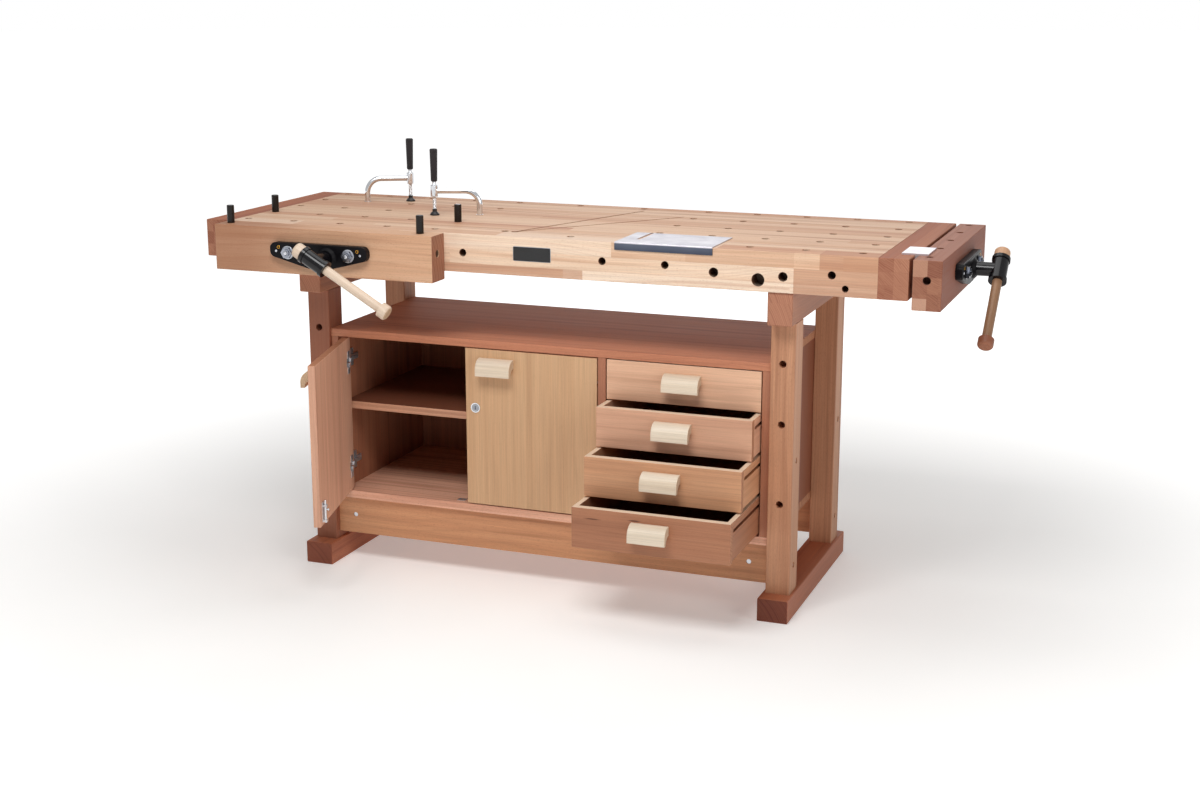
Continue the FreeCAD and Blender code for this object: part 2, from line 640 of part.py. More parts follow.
def hingeCup(along, level, notch):
    """Steel cup sunk in the door with its screwed flange, and the pin that the door turns on."""
    shell = rod("cup_dia", "cup_deep - joint_gap",
                (along, f"{inner_face} - cup_deep + joint_gap", level), "y")
    hollow = rod("cup_dia - 2 * cup_wall", "cup_deep",
                 (along, f"{inner_face} - cup_deep + cup_wall", level), "y")
    ears = box(("cup_ear_wide", "cup_wall", "cup_ear_tall"),
               (f"{along} - cup_ear_wide / 2", inner_face, f"{level} - cup_ear_tall / 2"))
    pin = rod("hinge_pin_dia", "hinge_pin_long", ("0", "0", f"{level} - hinge_pin_long / 2"))
    return fuse([cut(fuse([shell, ears]), [hollow, notch]), pin])


def hingeNotch(side, level):
    """Room for the hinge arm, from the pin out through the door's hinge edge."""
    clear = "(hinge_eye_dia / 2 + hinge_eye_clear)"
    long = f"(pivot_in + {clear} + {through})"
    left = f"-pivot_in - {through}" if side > 0 else f"-{clear}"
    return box((long, f"door_thick + {through}", "hinge_arm_tall + 2 * hinge_notch_gap"),
               (left, "-hinge_notch_deep", f"{level} - hinge_arm_tall / 2 - hinge_notch_gap"))


def latchSpot():
    """Where the bolt of the left door stands over the floor once that door is closed."""
    return (f"({inside_left} + door_gap + pivot_in + {onDoor(1, 'latch_inset')})",
            "(cabinet_front + door_thick + latch_stand)")


def makeFittings():
    """Hinge arms and their plates on the cabinet, and the keeper of the bolt in the floor."""
    pieces = []
    for side, wall in ((1, inside_left), (-1, divider_left)):
        for level in ("cup_from_end", f"{door_tall} - cup_from_end"):
            high = f"({door_low} + {level})"
            parts = []
            for reach, start, deep, tall in (
                    ("hinge_plate_thick", "hinge_plate_back", "hinge_arm_long", "hinge_plate_tall"),
                    ("hinge_plate_thick", "hinge_wing_back", "hinge_wing_deep", "hinge_wing_tall"),
                    ("hinge_arm_wide", "0", "hinge_arm_long", "hinge_arm_tall"),
                    ("hinge_hook_wide", "0", "hinge_hook_deep", "hinge_arm_tall")):
                left = wall if side > 0 else f"{wall} - {reach}"
                parts.append(box((reach, deep, tall),
                                 (left, f"cabinet_front + hinge_arm_front + {start}",
                                  f"{high} - {tall} / 2")))
            pivot = f"({wall} + {side} * (door_gap + pivot_in))"
            low = f"{high} - hinge_arm_tall / 2"
            parts.append(box(("hinge_link_wide", f"hinge_arm_front - pivot_deep + {bite}",
                              "hinge_arm_tall"),
                             (f"{pivot} - hinge_link_wide / 2", "cabinet_front + pivot_deep", low)))
            parts.append(rod("hinge_eye_dia", "hinge_arm_tall",
                             (pivot, "cabinet_front + pivot_deep", low)))
            bore = rod("hinge_pin_dia + 2 * hinge_gap", f"hinge_arm_tall + 2 * {through}",
                       (pivot, "cabinet_front + pivot_deep", f"{low} - {through}"))
            pieces.append(cut(fuse(parts), [bore]))
    along, back = latchSpot()
    keeper = box(("keeper_wide", "keeper_deep", "keeper_thick"),
                 (f"{along} - keeper_wide / 2", f"{back} - keeper_deep / 2", floor_high))
    hole = rod("keeper_hole_dia", f"keeper_thick + 2 * {through}",
               (along, back, f"{floor_high} - {through}"))
    pieces.append(cut(keeper, [hole]))
    node("cabinet_fittings", group(pieces, "cabinet_fittings"))


def makePull(name, at, turn, across, face, high):
    """Hooded wooden pull: a quarter-round front over a coved finger hollow, open at both ends."""
    body = newBody(name)
    swing = "(pull_tall - pull_front_flat)"
    points = [("-pull_hollow", 0), ("-pull_deep", 0), ("-pull_deep", "pull_front_flat"),
              (f"{swing} - pull_deep", "pull_tall"), (0, "pull_tall"), (0, "pull_hollow")]
    middle = math.sqrt(0.5)
    arcs = {2: (f"{swing} * (1 - {middle}) - pull_deep", f"pull_front_flat + {swing} * {middle}"),
            5: (f"-pull_hollow * {middle}", f"pull_hollow * {middle}")}
    sketch = drawOutline(body, "YZ_Plane", points, arcs)
    solid = pad(body, sketch, "pull_wide", middle=True)
    half_wide = value("pull_wide / 2")
    half_deep = value("pull_deep / 2")
    least = value("pull_round / 2")
    roundEdges(body, solid, "pull_round", lambda edge: edge.BoundBox.XLength < half_wide
               and edge.BoundBox.YMin < -half_deep and edge.BoundBox.ZLength > least)
    placeOn(body, at, turn, (across, face, f"{high} - pull_tall"))
    node(name, body)


def placeOn(thing, at, turn, local):
    """Puts a piece given in a turned carrier's frame into the bench's frame."""
    angle = turn.Angle if turn.Axis.z > 0 else -turn.Angle
    bearing = math.degrees(angle)
    along = f"({at[0]}) + ({local[0]}) * cos({bearing}deg) - ({local[1]}) * sin({bearing}deg)"
    back = f"({at[1]}) + ({local[0]}) * sin({bearing}deg) + ({local[1]}) * cos({bearing}deg)"
    return place(thing, (along, back, f"({at[2]}) + ({local[2]})"), turn)


def latchGuide():
    """Guide of the small sliding bolt inside the left door: a plate with two bored blocks."""
    middle = onDoor(1, "latch_inset")
    plate = box(("latch_plate_wide", "latch_plate_thick", "latch_plate_long"),
                (f"{middle} - latch_plate_wide / 2", inner_face, "latch_lift"))
    pieces = [plate]
    for level in ("latch_lift", "latch_lift + latch_block_high"):
        pieces.append(box(("latch_dia + 2 * latch_block_wall",
                           "latch_stand + latch_dia / 2 + latch_block_roof", "latch_block_tall"),
                          (f"{middle} - latch_dia / 2 - latch_block_wall", inner_face, level)))
    bore = rod("latch_dia + 2 * latch_gap", f"latch_plate_long + 2 * {through}",
               (middle, f"{inner_face} + latch_stand", f"latch_lift - {through}"))
    return cut(fuse(pieces), [bore])


def makeLatch():
    """The round bolt itself, with a knob that runs between the guide's blocks."""
    at, turn = doorPlace(1)
    middle = onDoor(1, "latch_inset")
    back = f"{inner_face} + latch_stand"
    high = "latch_lift + latch_stem_high"
    bar = rod("latch_dia", "latch_long", (middle, back, "latch_lift - latch_proud"))
    bar = easeEdges(bar, "latch_round", isRound)
    stem = rod("latch_stem_dia", "latch_stem_long", (middle, back, high), "y")
    tip = rod("latch_dia", "latch_knob_long", (middle, f"{back} + latch_stem_long", high), "y")
    node("door_bolt", place(fuse([bar, stem, tip]), at, turn))


def makeLock():
    """Cylinder lock in the right door: a round plug with a rim outside and a cam inside."""
    at, turn = doorPlace(-1)
    middle = onDoor(-1, "lock_inset")
    high = f"(lock_high - {door_low})"
    plug = rod("lock_dia", "door_thick + lock_reach", (middle, outer_face, high), "y")
    rim = rod("lock_rim_dia", "lock_rim_thick",
              (middle, f"{outer_face} - lock_rim_thick - lock_gap", high), "y")
    link = rod("lock_dia", "lock_gap * 2", (middle, f"{outer_face} - lock_gap", high), "y")
    cam = box(("lock_cam_long", "lock_cam_thick", "lock_cam_tall"),
              (f"{middle} - lock_cam_long + lock_dia / 2", f"{inner_face} + lock_cam_off",
               f"{high} - lock_cam_tall / 2"))
    keyway = box(("keyway_wide", f"keyway_deep + {through}", "keyway_tall"),
                 (f"{middle} - keyway_wide / 2", f"{outer_face} - lock_rim_thick - {through}",
                  f"{high} - keyway_tall / 2"))
    node("door_lock", place(cut(fuse([plug, link, rim, cam]), [keyway]), at, turn))


# ---------------------------------------------------------------- drawers

drawer_deep = f"({cabinet_deep} - drawer_short)"
drawer_space = f"({ceiling} - {floor_high} - 2 * door_reveal)"
drawer_tall = f"(({drawer_space} - (drawer_count - 1) * drawer_gap) / drawer_count)"
bay_left = f"({divider_left} + board)"
bay_wide = f"({inside_right} - {bay_left})"
box_wide = f"({bay_wide} - 2 * drawer_side_gap)"


def drawerLow(number):
    steps = f"(drawer_count - {number})"
    return f"({floor_high} + door_reveal + {steps} * ({drawer_tall} + drawer_gap))"


def makeDrawer(number):
    """Front, grooved sides, back and a bottom that lies in grooves of the sides."""
    low = drawerLow(number)
    forward = f"(cabinet_front - drawer_open_{number})"
    front = box((f"{bay_wide} - 2 * door_reveal", "door_thick", drawer_tall),
                (f"{bay_left} + door_reveal", forward, low))
    front = easeEdges(front, "door_edge_round", isStraight)
    side_low = f"({low} + drawer_side_rise)"
    side_tall = f"({drawer_tall} - drawer_side_rise - drawer_side_drop)"
    behind = f"({forward} + door_thick)"
    box_left = f"({bay_left} + drawer_side_gap)"
    side_deep = f"({drawer_deep} - door_thick)"
    groove_low = f"({side_low} + {side_tall} - groove_drop)"
    bottom_low = f"({side_low} + bottom_rise)"
    pieces = [front]
    for left, outer, inner in ((box_left, box_left,
                                f"{box_left} + drawer_side - bottom_groove_deep"),
                               (f"{box_left} + {box_wide} - drawer_side",
                                f"{box_left} + {box_wide} - groove_depth",
                                f"{box_left} + {box_wide} - drawer_side")):
        wall = box(("drawer_side", side_deep, side_tall), (left, behind, side_low))
        runner_groove = box(("groove_depth", f"{side_deep} + {through}", "groove_height"),
                            (outer, f"{behind} + groove_from", groove_low))
        bottom_groove = box(("bottom_groove_deep", side_deep, "drawer_bottom"),
                            (inner, behind, bottom_low))
        pieces.append(cut(wall, [runner_groove, bottom_groove]))
    inner_wide = f"({box_wide} - 2 * drawer_side)"
    pieces.append(box((inner_wide, "drawer_side", f"{side_tall} - bottom_rise - drawer_bottom"),
                      (f"{box_left} + drawer_side", f"{behind} + {side_deep} - drawer_side",
                       f"{bottom_low} + drawer_bottom")))
    pieces.append(box((f"{inner_wide} + 2 * bottom_groove_deep", side_deep, "drawer_bottom"),
                      (f"{box_left} + drawer_side - bottom_groove_deep", behind, bottom_low)))
    node(f"drawer_{number}", group(pieces, f"drawer_{number}"))
    makePull(f"drawer_{number}_pull", ("0", "0", "0"), FreeCAD.Rotation(),
             f"{bay_left} + {bay_wide} / 2", forward, f"{low} + {drawer_tall} - pull_drop")


def makeRunners():
    """A strip each side of every drawer, fixed to the cabinet and lying in the groove."""
    pieces = []
    reach = "(drawer_side_gap + groove_depth - runner_gap)"
    for number in range(1, int(value("drawer_count")) + 1):
        side_low = f"({drawerLow(number)} + drawer_side_rise)"
        side_tall = f"({drawer_tall} - drawer_side_rise - drawer_side_drop)"
        low = f"({side_low} + {side_tall} - groove_drop + runner_gap)"
        for left in (bay_left, f"{inside_right} - {reach}"):
            pieces.append(box((reach, f"{drawer_deep} - door_thick - runner_short",
                               "groove_height - 2 * runner_gap"),
                              (left, "cabinet_front + door_thick + runner_from", low)))
    node("drawer_runners", group(pieces, "drawer_runners"))


# ---------------------------------------------------------------- vises
# Each vise is drawn in its own frame: x along the jaw, y from the jaw's inner face towards
# the bench, z down from the top of the bench. Its frame is then turned and put in place.

def visePlace(kind):
    if kind == "front":
        return ("front_vise_along", "-front_jaw_gap", "bench_height"), FreeCAD.Rotation()
    return ((f"{cap_right} + end_jaw_gap", "top_depth / 2", "bench_height"),
            FreeCAD.Rotation(upward, 90))


def makeVise(kind):
    """Jaw, flange, guide rods, screw with its hub, handle, and the plate with nut and bushes."""
    at, turn = visePlace(kind)
    thick = f"{kind}_jaw_thick"
    wall = "(front_jaw_gap + rail_thick)" if kind == "front" else "(end_jaw_gap + cap_thick)"
    half = "(front_jaw_long / 2)" if kind == "front" else "(top_depth / 2)"
    guides = [("-rod_half_span", "rod_drop", "rod_dia"), ("rod_half_span", "rod_drop", "rod_dia"),
              ("screw_aside", "screw_drop", "screw_dia")]

    jaw = box((f"2 * {half}", thick, "jaw_tall"), (f"-{half}", f"-{thick}", "-jaw_tall"))
    jaw = easeEdges(jaw, "jaw_round", isStraight)
    tools = [rod(f"{wide} + 2 * wall_hole_gap", f"{thick} + 2 * {through}",
                 (aside, f"-{thick} - {through}", f"-{drop}"), "y") for aside, drop, wide in guides]
    if kind == "front":
        inset = "jaw_dog_inset"
        spots = ["(-front_jaw_long / 2 + jaw_dog_end_inset)",
                 "(front_jaw_long / 2 - jaw_dog_end_inset_right)"]
        end_start = "(front_jaw_long / 2 - jaw_end_hole_deep)"
    else:
        inset = "end_jaw_dog_inset"
        spots = [f"({row} - top_depth / 2)" for row in dog_rows]
        end_start = f"(-top_depth / 2 - {through})"
    for spot in spots:
        tools.append(rod("dog_dia", f"jaw_tall + 2 * {through}",
                         (spot, f"-{inset}", f"-jaw_tall - {through}")))
    tools.append(rod("dog_dia", f"jaw_end_hole_deep + {through}",
                     (end_start, f"-{inset} - jaw_end_hole_out", "-jaw_end_hole_drop"), "x"))
    node(f"{kind}_jaw", place(cut(jaw, tools), at, turn))

    makeFlange(kind, at, turn, thick)
    rear = f"({wall} + fixed_plate_thick + nut_boss_long + vise_travel + travel_spare)"
    makeGuideRods(kind, at, turn, thick, rear)
    makeScrew(kind, at, turn, thick, rear)
    makeFixedPlate(kind, at, turn, wall, guides)
    makeHandle(kind, at, turn, thick)


def makeFlange(kind, at, turn, thick):
    """Cast plate on the jaw: flat top, round ends and a belly under the screw's boss."""
    body = newBody("cast_plate")
    end_low = "(-flange_drop - flange_end_tall)"
    belly = "(-flange_drop - flange_deep)"
    points = [("-flange_half", "-flange_drop"), ("-flange_half", end_low),
              ("-flange_foot_half", belly), ("flange_foot_half", belly),
              ("flange_half", end_low), ("flange_half", "-flange_drop")]
    sketch = drawOutline(body, "XZ_Plane", points)
    plate = pad(body, sketch, "flange_thick")
    half_thick = value("flange_thick / 2")
    rounded = roundEdges(body, plate, "flange_round",
                         lambda edge: edge.BoundBox.YLength > half_thick)
    roundEdges(body, rounded, "flange_edge", lambda edge: edge.BoundBox.YMax < -half_thick)
    place(body, ("0", f"-{thick}", "0"))
    face = f"(-{thick} - flange_thick)"
    boss = doc.addObject("Part::Cone", "boss")
    bind(boss, Radius1="boss_front_dia / 2", Radius2="boss_dia / 2", Height="boss_thick")
    place(boss, ("screw_aside", f"{face} - boss_thick", "-screw_drop"), turn_to["y"])
    tools = []
    for aside, drop, wide, gap in (("-rod_half_span", "rod_drop", "rod_dia", "joint_gap"),
                                   ("rod_half_span", "rod_drop", "rod_dia", "joint_gap"),
                                   ("screw_aside", "screw_drop", "screw_dia", "running_gap")):
        tools.append(rod(f"{wide} + 2 * {gap}", f"flange_thick + boss_thick + 2 * {through}",
                         (aside, f"{face} - boss_thick - {through}", f"-{drop}"), "y"))
    node(f"{kind}_flange", place(cut(fuse([body, boss]), tools), at, turn))


def makeGuideRods(kind, at, turn, thick, rear):
    """Two polished rods, each with a hex nut at the flange, joined by a bar at the back."""
    face = f"(-{thick} - flange_thick)"
    pieces = []
    for aside in ("-rod_half_span", "rod_half_span"):
        start = f"({face} - rod_nut_thick - rod_end_long)"
        bar = rod("rod_dia", f"{rear} - {start} - tie_bar_thick", (aside, start, "-rod_drop"), "y")
        nut = doc.addObject("Part::Prism", "nut")
        bind(nut, Circumradius="rod_nut_wide / 2 / cos(30deg)", Height="rod_nut_thick")
        place(nut, (aside, f"{face} - rod_nut_thick", "-rod_drop"), turn_to["y"])
        pieces.append(fuse([bar, nut]))
    bar = box(("2 * rod_half_span + 2 * rod_dia", "tie_bar_thick", "tie_bar_tall"),
              ("-rod_half_span - rod_dia", f"{rear} - tie_bar_thick",
               "-rod_drop + rod_dia / 2 - tie_bar_tall"))
    hole = rod("screw_dia + 2 * wall_hole_gap", f"tie_bar_thick + 2 * {through}",
               ("screw_aside", f"{rear} - tie_bar_thick - {through}", "-screw_drop"), "y")
    pieces.append(cut(bar, [hole]))
    node(f"{kind}_guide_rods", place(group(pieces), at, turn))


def makeScrew(kind, at, turn, thick, rear):
    """Vise screw with its neck and the cross hub that the handle slides through."""
    hub_back = f"(-{thick} - flange_thick - hub_reach)"
    face = f"(-{thick} - flange_thick - boss_thick)"
    shaft = rod("screw_dia", f"{rear} - tie_bar_thick - {hub_back}",
                ("screw_aside", hub_back, "-screw_drop"), "y")
    neck = rod("neck_dia", f"{face} - neck_gap - {hub_back}",
               ("screw_aside", hub_back, "-screw_drop"), "y")
    centre = ("screw_aside", hub_back, "-screw_drop")
    half = "(hub_long / 2)"
    wide = "(hub_dia / 2)"
    rim = "(hub_collar_dia / 2)"
    points = [(0, f"-{half}"), (rim, f"-{half}"), (rim, f"hub_collar_long - {half}"),
              (wide, f"hub_collar_long - {half}"), (wide, f"{half} - hub_collar_long"),
              (rim, f"{half} - hub_collar_long"), (rim, half), (0, half)]
    hub = place(turned("hub", points), centre, handleLean(kind))
    bore = "(handle_dia / 2 + handle_gap)"
    reach = f"({half} + {through})"
    points = [(0, f"-{reach}"), (bore, f"-{reach}"), (bore, reach), (0, reach)]
    tool = place(turned("hub_bore", points), centre, handleLean(kind))
    node(f"{kind}_screw", place(cut(fuse([shaft, neck, hub]), [tool]), at, turn))


def handleLean(kind):
    """Turns a piece's own z axis to the direction that the vise's handle hangs in."""
    return FreeCAD.Rotation(FreeCAD.Vector(0, 1, 0), 90 - value(f"{kind}_handle_angle"))


def makeFixedPlate(kind, at, turn, wall, guides):
    """Cast plate behind the wall, with two bushes for the rods and the nut of the screw."""
    plate = box(("2 * fixed_plate_half", "fixed_plate_thick", "fixed_plate_tall"),
                ("-fixed_plate_half", wall, "-fixed_plate_top - fixed_plate_tall"))
    plate = easeEdges(plate, "flange_edge", isStraight)
    behind = f"({wall} + fixed_plate_thick)"
    pieces = [plate]
    tools = []
    for aside, drop, wide in guides:
        is_screw = wide == "screw_dia"
        boss_wide = "nut_boss_dia" if is_screw else "bush_dia"
        boss_long = "nut_boss_long" if is_screw else "bush_long"
        pieces.append(rod(boss_wide, f"{boss_long} + {bite}",
                          (aside, f"{behind} - {bite}", f"-{drop}"), "y"))
        tools.append(rod(f"{wide} + 2 * running_gap", f"{behind} + nut_boss_long + {through}",
                         (aside, "0", f"-{drop}"), "y"))
    node(f"{kind}_vise_plate", place(cut(fuse(pieces), tools), at, turn))


def makeHandle(kind, at, turn, thick):
    """Turned handle with a round knob at each end, at the low end of its slide in the hub."""
    radius = "(handle_dia / 2)"
    wide = "(knob_dia / 2)"
    points = [(0, "-handle_near"), (f"{wide} - knob_round", "-handle_near"),
              (wide, "-handle_near + knob_round"), (wide, "-handle_near + knob_long"),
              (radius, "-handle_near + knob_long"), (radius, "handle_far - knob_long"),
              (wide, "handle_far - knob_long"), (wide, "handle_far - knob_round"),
              (f"{wide} - knob_round", "handle_far"), (0, "handle_far")]
    soft = f"knob_round * {1 - math.sqrt(0.5)}"
    arcs = {1: (f"{wide} - {soft}", f"-handle_near + {soft}"),
            7: (f"{wide} - {soft}", f"handle_far - {soft}")}
    body = turned(f"{kind}_handle", points, arcs)
    placeOn(body, at, turn, ("screw_aside", f"-{thick} - flange_thick - hub_reach",
                             "-screw_drop"))
    body.Placement = FreeCAD.Placement(body.Placement.Base, turn * handleLean(kind))
    node(f"{kind}_handle", body)


def makeLiners():
    """Bright steel angles that line the two faces of the end vise."""
    wall = "(bench_height - liner_tall)"
    for name, face, leg_left, flange_left, flange_wide in (
            ("fixed_jaw_liner", cap_right, cap_right, f"{cap_right} - liner_flange",
             "liner_flange + liner_thick"),
            ("moving_jaw_liner", f"({cap_right} + end_jaw_gap)",
             f"{cap_right} + end_jaw_gap - liner_thick",
             f"{cap_right} + end_jaw_gap - liner_thick", "liner_flange_moving + liner_thick")):
        leg = box(("liner_thick", "liner_long", "liner_tall + liner_thick"),
                  (leg_left, "liner_from", wall))
        flange = box((flange_wide, "liner_long", "liner_thick"),
                     (flange_left, "liner_from", "bench_height"))
        node(name, fuse([leg, flange]))


# ---------------------------------------------------------------- dogs and holdfasts

dog_low = "(dog_proud - dog_long)"
fit_radius = "(dog_dia / 2 - dog_fit_gap)"


def makeDog(number, along, back):
    """Round steel dog with bevelled ends and a waist for its gripping ring."""
    waist = f"({dog_low} + dog_waist_from)"
    points = [(0, dog_low), (f"{fit_radius} - dog_edge", dog_low),
              (fit_radius, f"{dog_low} + dog_edge"), (fit_radius, waist),
              (f"{fit_radius} - dog_waist", f"{waist} + dog_waist"),
              (f"{fit_radius} - dog_waist", f"{waist} + dog_waist_long - dog_waist"),
              (fit_radius, f"{waist} + dog_waist_long"), (fit_radius, "dog_proud - dog_edge"),
              (f"{fit_radius} - dog_edge", "dog_proud"), (0, "dog_proud")]
    body = turned("dog", points)
    node(f"bench_dog_{number}", place(body, (along, back, "bench_height")))


def bentBar():
    """Round bar that rises from the sleeve and bends over to the clamping screw."""
    body = newBody("bar")
    section = newSketch(body, "XY_Plane", "section")
    section.addGeometry(Part.Circle(FreeCAD.Vector(), upward, value("arm_dia / 2")), False)
    section.addConstraint(Sketcher.Constraint("Coincident", 0, 3, -1, 1))
    size = section.addConstraint(Sketcher.Constraint("Radius", 0, value("arm_dia / 2")))
    section.setExpression(f"Constraints[{size}]", full("arm_dia / 2"))
    path = newSketch(body, "XZ_Plane", "path")
    level = value("arm_level")
    bend = value("arm_bend")
    middle = bend * (1 - math.sqrt(0.5))
    foot = FreeCAD.Vector(0, 0, 0)
    bend_start = FreeCAD.Vector(0, level - bend, 0)
    bend_middle = FreeCAD.Vector(middle, level - middle, 0)
    bend_end = FreeCAD.Vector(bend, level, 0)
    tip = FreeCAD.Vector(value("arm_reach"), level, 0)
    path.addGeometry(Part.LineSegment(foot, bend_start), False)
    path.addGeometry(Part.Arc(bend_start, bend_middle, bend_end), False)
    path.addGeometry(Part.LineSegment(bend_end, tip), False)
    bar = body.newObject("PartDesign::AdditivePipe", "bent_bar")
    bar.Profile = section
    bar.Spine = (path, ["Edge1", "Edge2", "Edge3"])
    doc.recompute()
    return body


def makeHoldfast(number, column, row, angle):
    """Bent bar that stands in a dog hole by a sleeve, with a boss for its clamping screw."""
    base = (column, row, "bench_height")
    turn = FreeCAD.Rotation(upward, value(angle))
    sleeve = doc.addObject("Part::Cylinder", "sleeve")
    bind(sleeve, Radius=fit_radius, Height="sleeve_long + sleeve_proud")
    place(sleeve, ("0", "0", "-sleeve_long"))
    boss_low = "arm_level - arm_boss_tall / 2"
    boss = rod("arm_boss_dia", "arm_boss_tall", ("arm_reach", "0", boss_low))
    boss = easeEdges(boss, "arm_boss_round", isRound)
    hole = rod("clamp_screw_dia + 2 * clamp_screw_gap", f"arm_boss_tall + 2 * {through}",
               ("arm_reach", "0", f"{boss_low} - {through}"))
    arm = cut(fuse([bentBar(), sleeve, boss]), [hole])
    node(f"holdfast_{number}_arm", place(arm, base, turn))
    makeClampPad(number, base, turn)
    makeClampScrew(number, base, turn)


def makeClampPad(number, base, turn):
    """Bell-shaped pad with a blind bore that the end of the screw turns in."""
    neck = "(pad_neck_dia / 2)"
    rim = "(pad_dia / 2)"
    bore = "(clamp_screw_dia / 2 + clamp_screw_gap)"
    shoulder = "(pad_lift + pad_cone_tall)"
    points = [(0, "pad_lift"), (rim, "pad_lift"), (rim, "pad_lift + pad_rim"),
              (neck, shoulder), (neck, "pad_lift + pad_tall"), (bore, "pad_lift + pad_tall"),
              (bore, shoulder), (0, shoulder)]
    body = turned("pad", points)
    placeOn(body, base, turn, ("arm_reach", "0", "0"))
    node(f"holdfast_{number}_pad", body)


def makeClampScrew(number, base, turn):
    """Clamping screw with its tapered grip."""
    thin = "(clamp_screw_dia / 2)"
    low = "(pad_lift + pad_cone_tall + clamp_screw_gap)"
    grip_top = "(grip_low + grip_long)"
    points = [(0, low), (thin, low), (thin, "grip_low"),
              ("grip_low_dia / 2 - grip_edge", "grip_low"),
              ("grip_low_dia / 2", "grip_low + grip_edge"),
              ("grip_high_dia / 2", f"{grip_top} - grip_edge"),
              ("grip_high_dia / 2 - grip_edge", grip_top), (0, grip_top)]
    body = turned("clamp_screw", points)
    placeOn(body, base, turn, ("arm_reach", "0", "0"))
    node(f"holdfast_{number}_screw", body)


# ---------------------------------------------------------------- the whole bench

makeFrame()
makeStretchers()
makeFrameBolts()
makeTop()
makeWorkPlate()
makeCabinet()
makeDoor("left", 1)
makeDoor("right", -1)
makeFittings()
makeLatch()
makeLock()
for drawer in range(1, int(value("drawer_count")) + 1):
    makeDrawer(drawer)
makeRunners()
makeVise("front")
makeVise("end")
makeLiners()
jaw_dog_back = "(-front_jaw_gap - jaw_dog_inset)"
makeDog(1, "front_vise_along - front_jaw_long / 2 + jaw_dog_end_inset", jaw_dog_back)
makeDog(2, "front_vise_along + front_jaw_long / 2 - jaw_dog_end_inset_right", jaw_dog_back)
makeDog(3, dog_left_columns[0], dog_rows[1])
makeDog(4, dog_left_columns[-1], dog_rows[1])
makeHoldfast(1, dog_left_columns[1], dog_rows[3], "first_arm_angle")
makeHoldfast(2, dog_left_columns[-1], dog_rows[2], "second_arm_angle")

doc.recompute()
for thing in doc.Objects:
    if "Invalid" in thing.State or "Error" in thing.State:
        raise RuntimeError(f"{thing.Name} failed: {thing.State}")
for thing in nodes:
    if thing.Shape.isNull() or not thing.Shape.isValid():
        raise RuntimeError(f"{thing.Label} has no valid shape")
for thing in nodes:
    thing.Shape.exportStep(f"parts/{thing.Label}.step")
print(len(nodes), "sub-parts written")
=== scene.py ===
import bpy
import bmesh
import json
import math
from functools import partial
from mathutils import Matrix, Vector


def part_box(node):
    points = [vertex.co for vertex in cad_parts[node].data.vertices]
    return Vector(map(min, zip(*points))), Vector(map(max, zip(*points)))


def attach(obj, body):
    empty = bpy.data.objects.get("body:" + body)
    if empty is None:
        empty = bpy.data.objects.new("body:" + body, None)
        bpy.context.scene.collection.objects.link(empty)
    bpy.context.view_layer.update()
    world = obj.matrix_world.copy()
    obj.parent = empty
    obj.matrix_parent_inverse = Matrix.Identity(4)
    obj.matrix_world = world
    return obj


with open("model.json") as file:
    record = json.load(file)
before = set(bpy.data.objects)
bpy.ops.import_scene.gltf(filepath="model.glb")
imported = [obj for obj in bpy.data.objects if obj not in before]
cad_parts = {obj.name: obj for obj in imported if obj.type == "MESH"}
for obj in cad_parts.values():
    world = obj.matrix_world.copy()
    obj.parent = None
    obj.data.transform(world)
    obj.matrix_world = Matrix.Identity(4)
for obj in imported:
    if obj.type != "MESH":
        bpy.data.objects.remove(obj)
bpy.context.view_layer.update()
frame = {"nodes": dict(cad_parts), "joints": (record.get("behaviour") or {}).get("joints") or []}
nodes = frame["nodes"]
print("bench frame loaded:", len(nodes), "parts")

mm = 0.001
shift = Vector((-0.08855, -0.16734, 0))     # middle between the trestles and front face of the top
topHeight = 900                             # mm
beyond = 9.0                                # metres, past the end of every part


def spot(x, y, z):
    # a place on the bench in millimetres: along from the middle, back from the front face, up
    return Vector((x, y, z)) * mm + shift


def linear(code):
    # sRGB hex to the linear colour that the shaders take
    parts = [int(code[i:i + 2], 16) / 255 for i in (1, 3, 5)]
    return [c / 12.92 if c <= 0.04045 else ((c + 0.055) / 1.055) ** 2.4 for c in parts] + [1]


def plug(node, links):
    # sources are sockets or whole nodes, which stand for the first of their outputs in use
    for key, source in links.items():
        if not isinstance(source, bpy.types.NodeSocket):
            source = next(out for out in source.outputs if out.enabled)
        node.id_data.links.new(source, node.inputs[key])


def addNode(tree, kind, settings=None, links=None):
    # a node with its settings (sockets by number or name, options by name) and incoming links
    made = tree.nodes.new("ShaderNode" + kind)
    for key, value in (settings or {}).items():
        if isinstance(key, int) or key in made.inputs:
            made.inputs[key].default_value = value
        else:
            setattr(made, key, value)
    plug(made, links or {})
    return made


def newMaterial(name):
    # an empty material, the function that adds its nodes, and its shader
    material = bpy.data.materials.new(name)
    material.use_nodes = True
    material.node_tree.nodes.clear()
    add = partial(addNode, material.node_tree)
    surface = add("BsdfPrincipled")
    add("OutputMaterial", {}, {0: surface})
    return material, add, surface


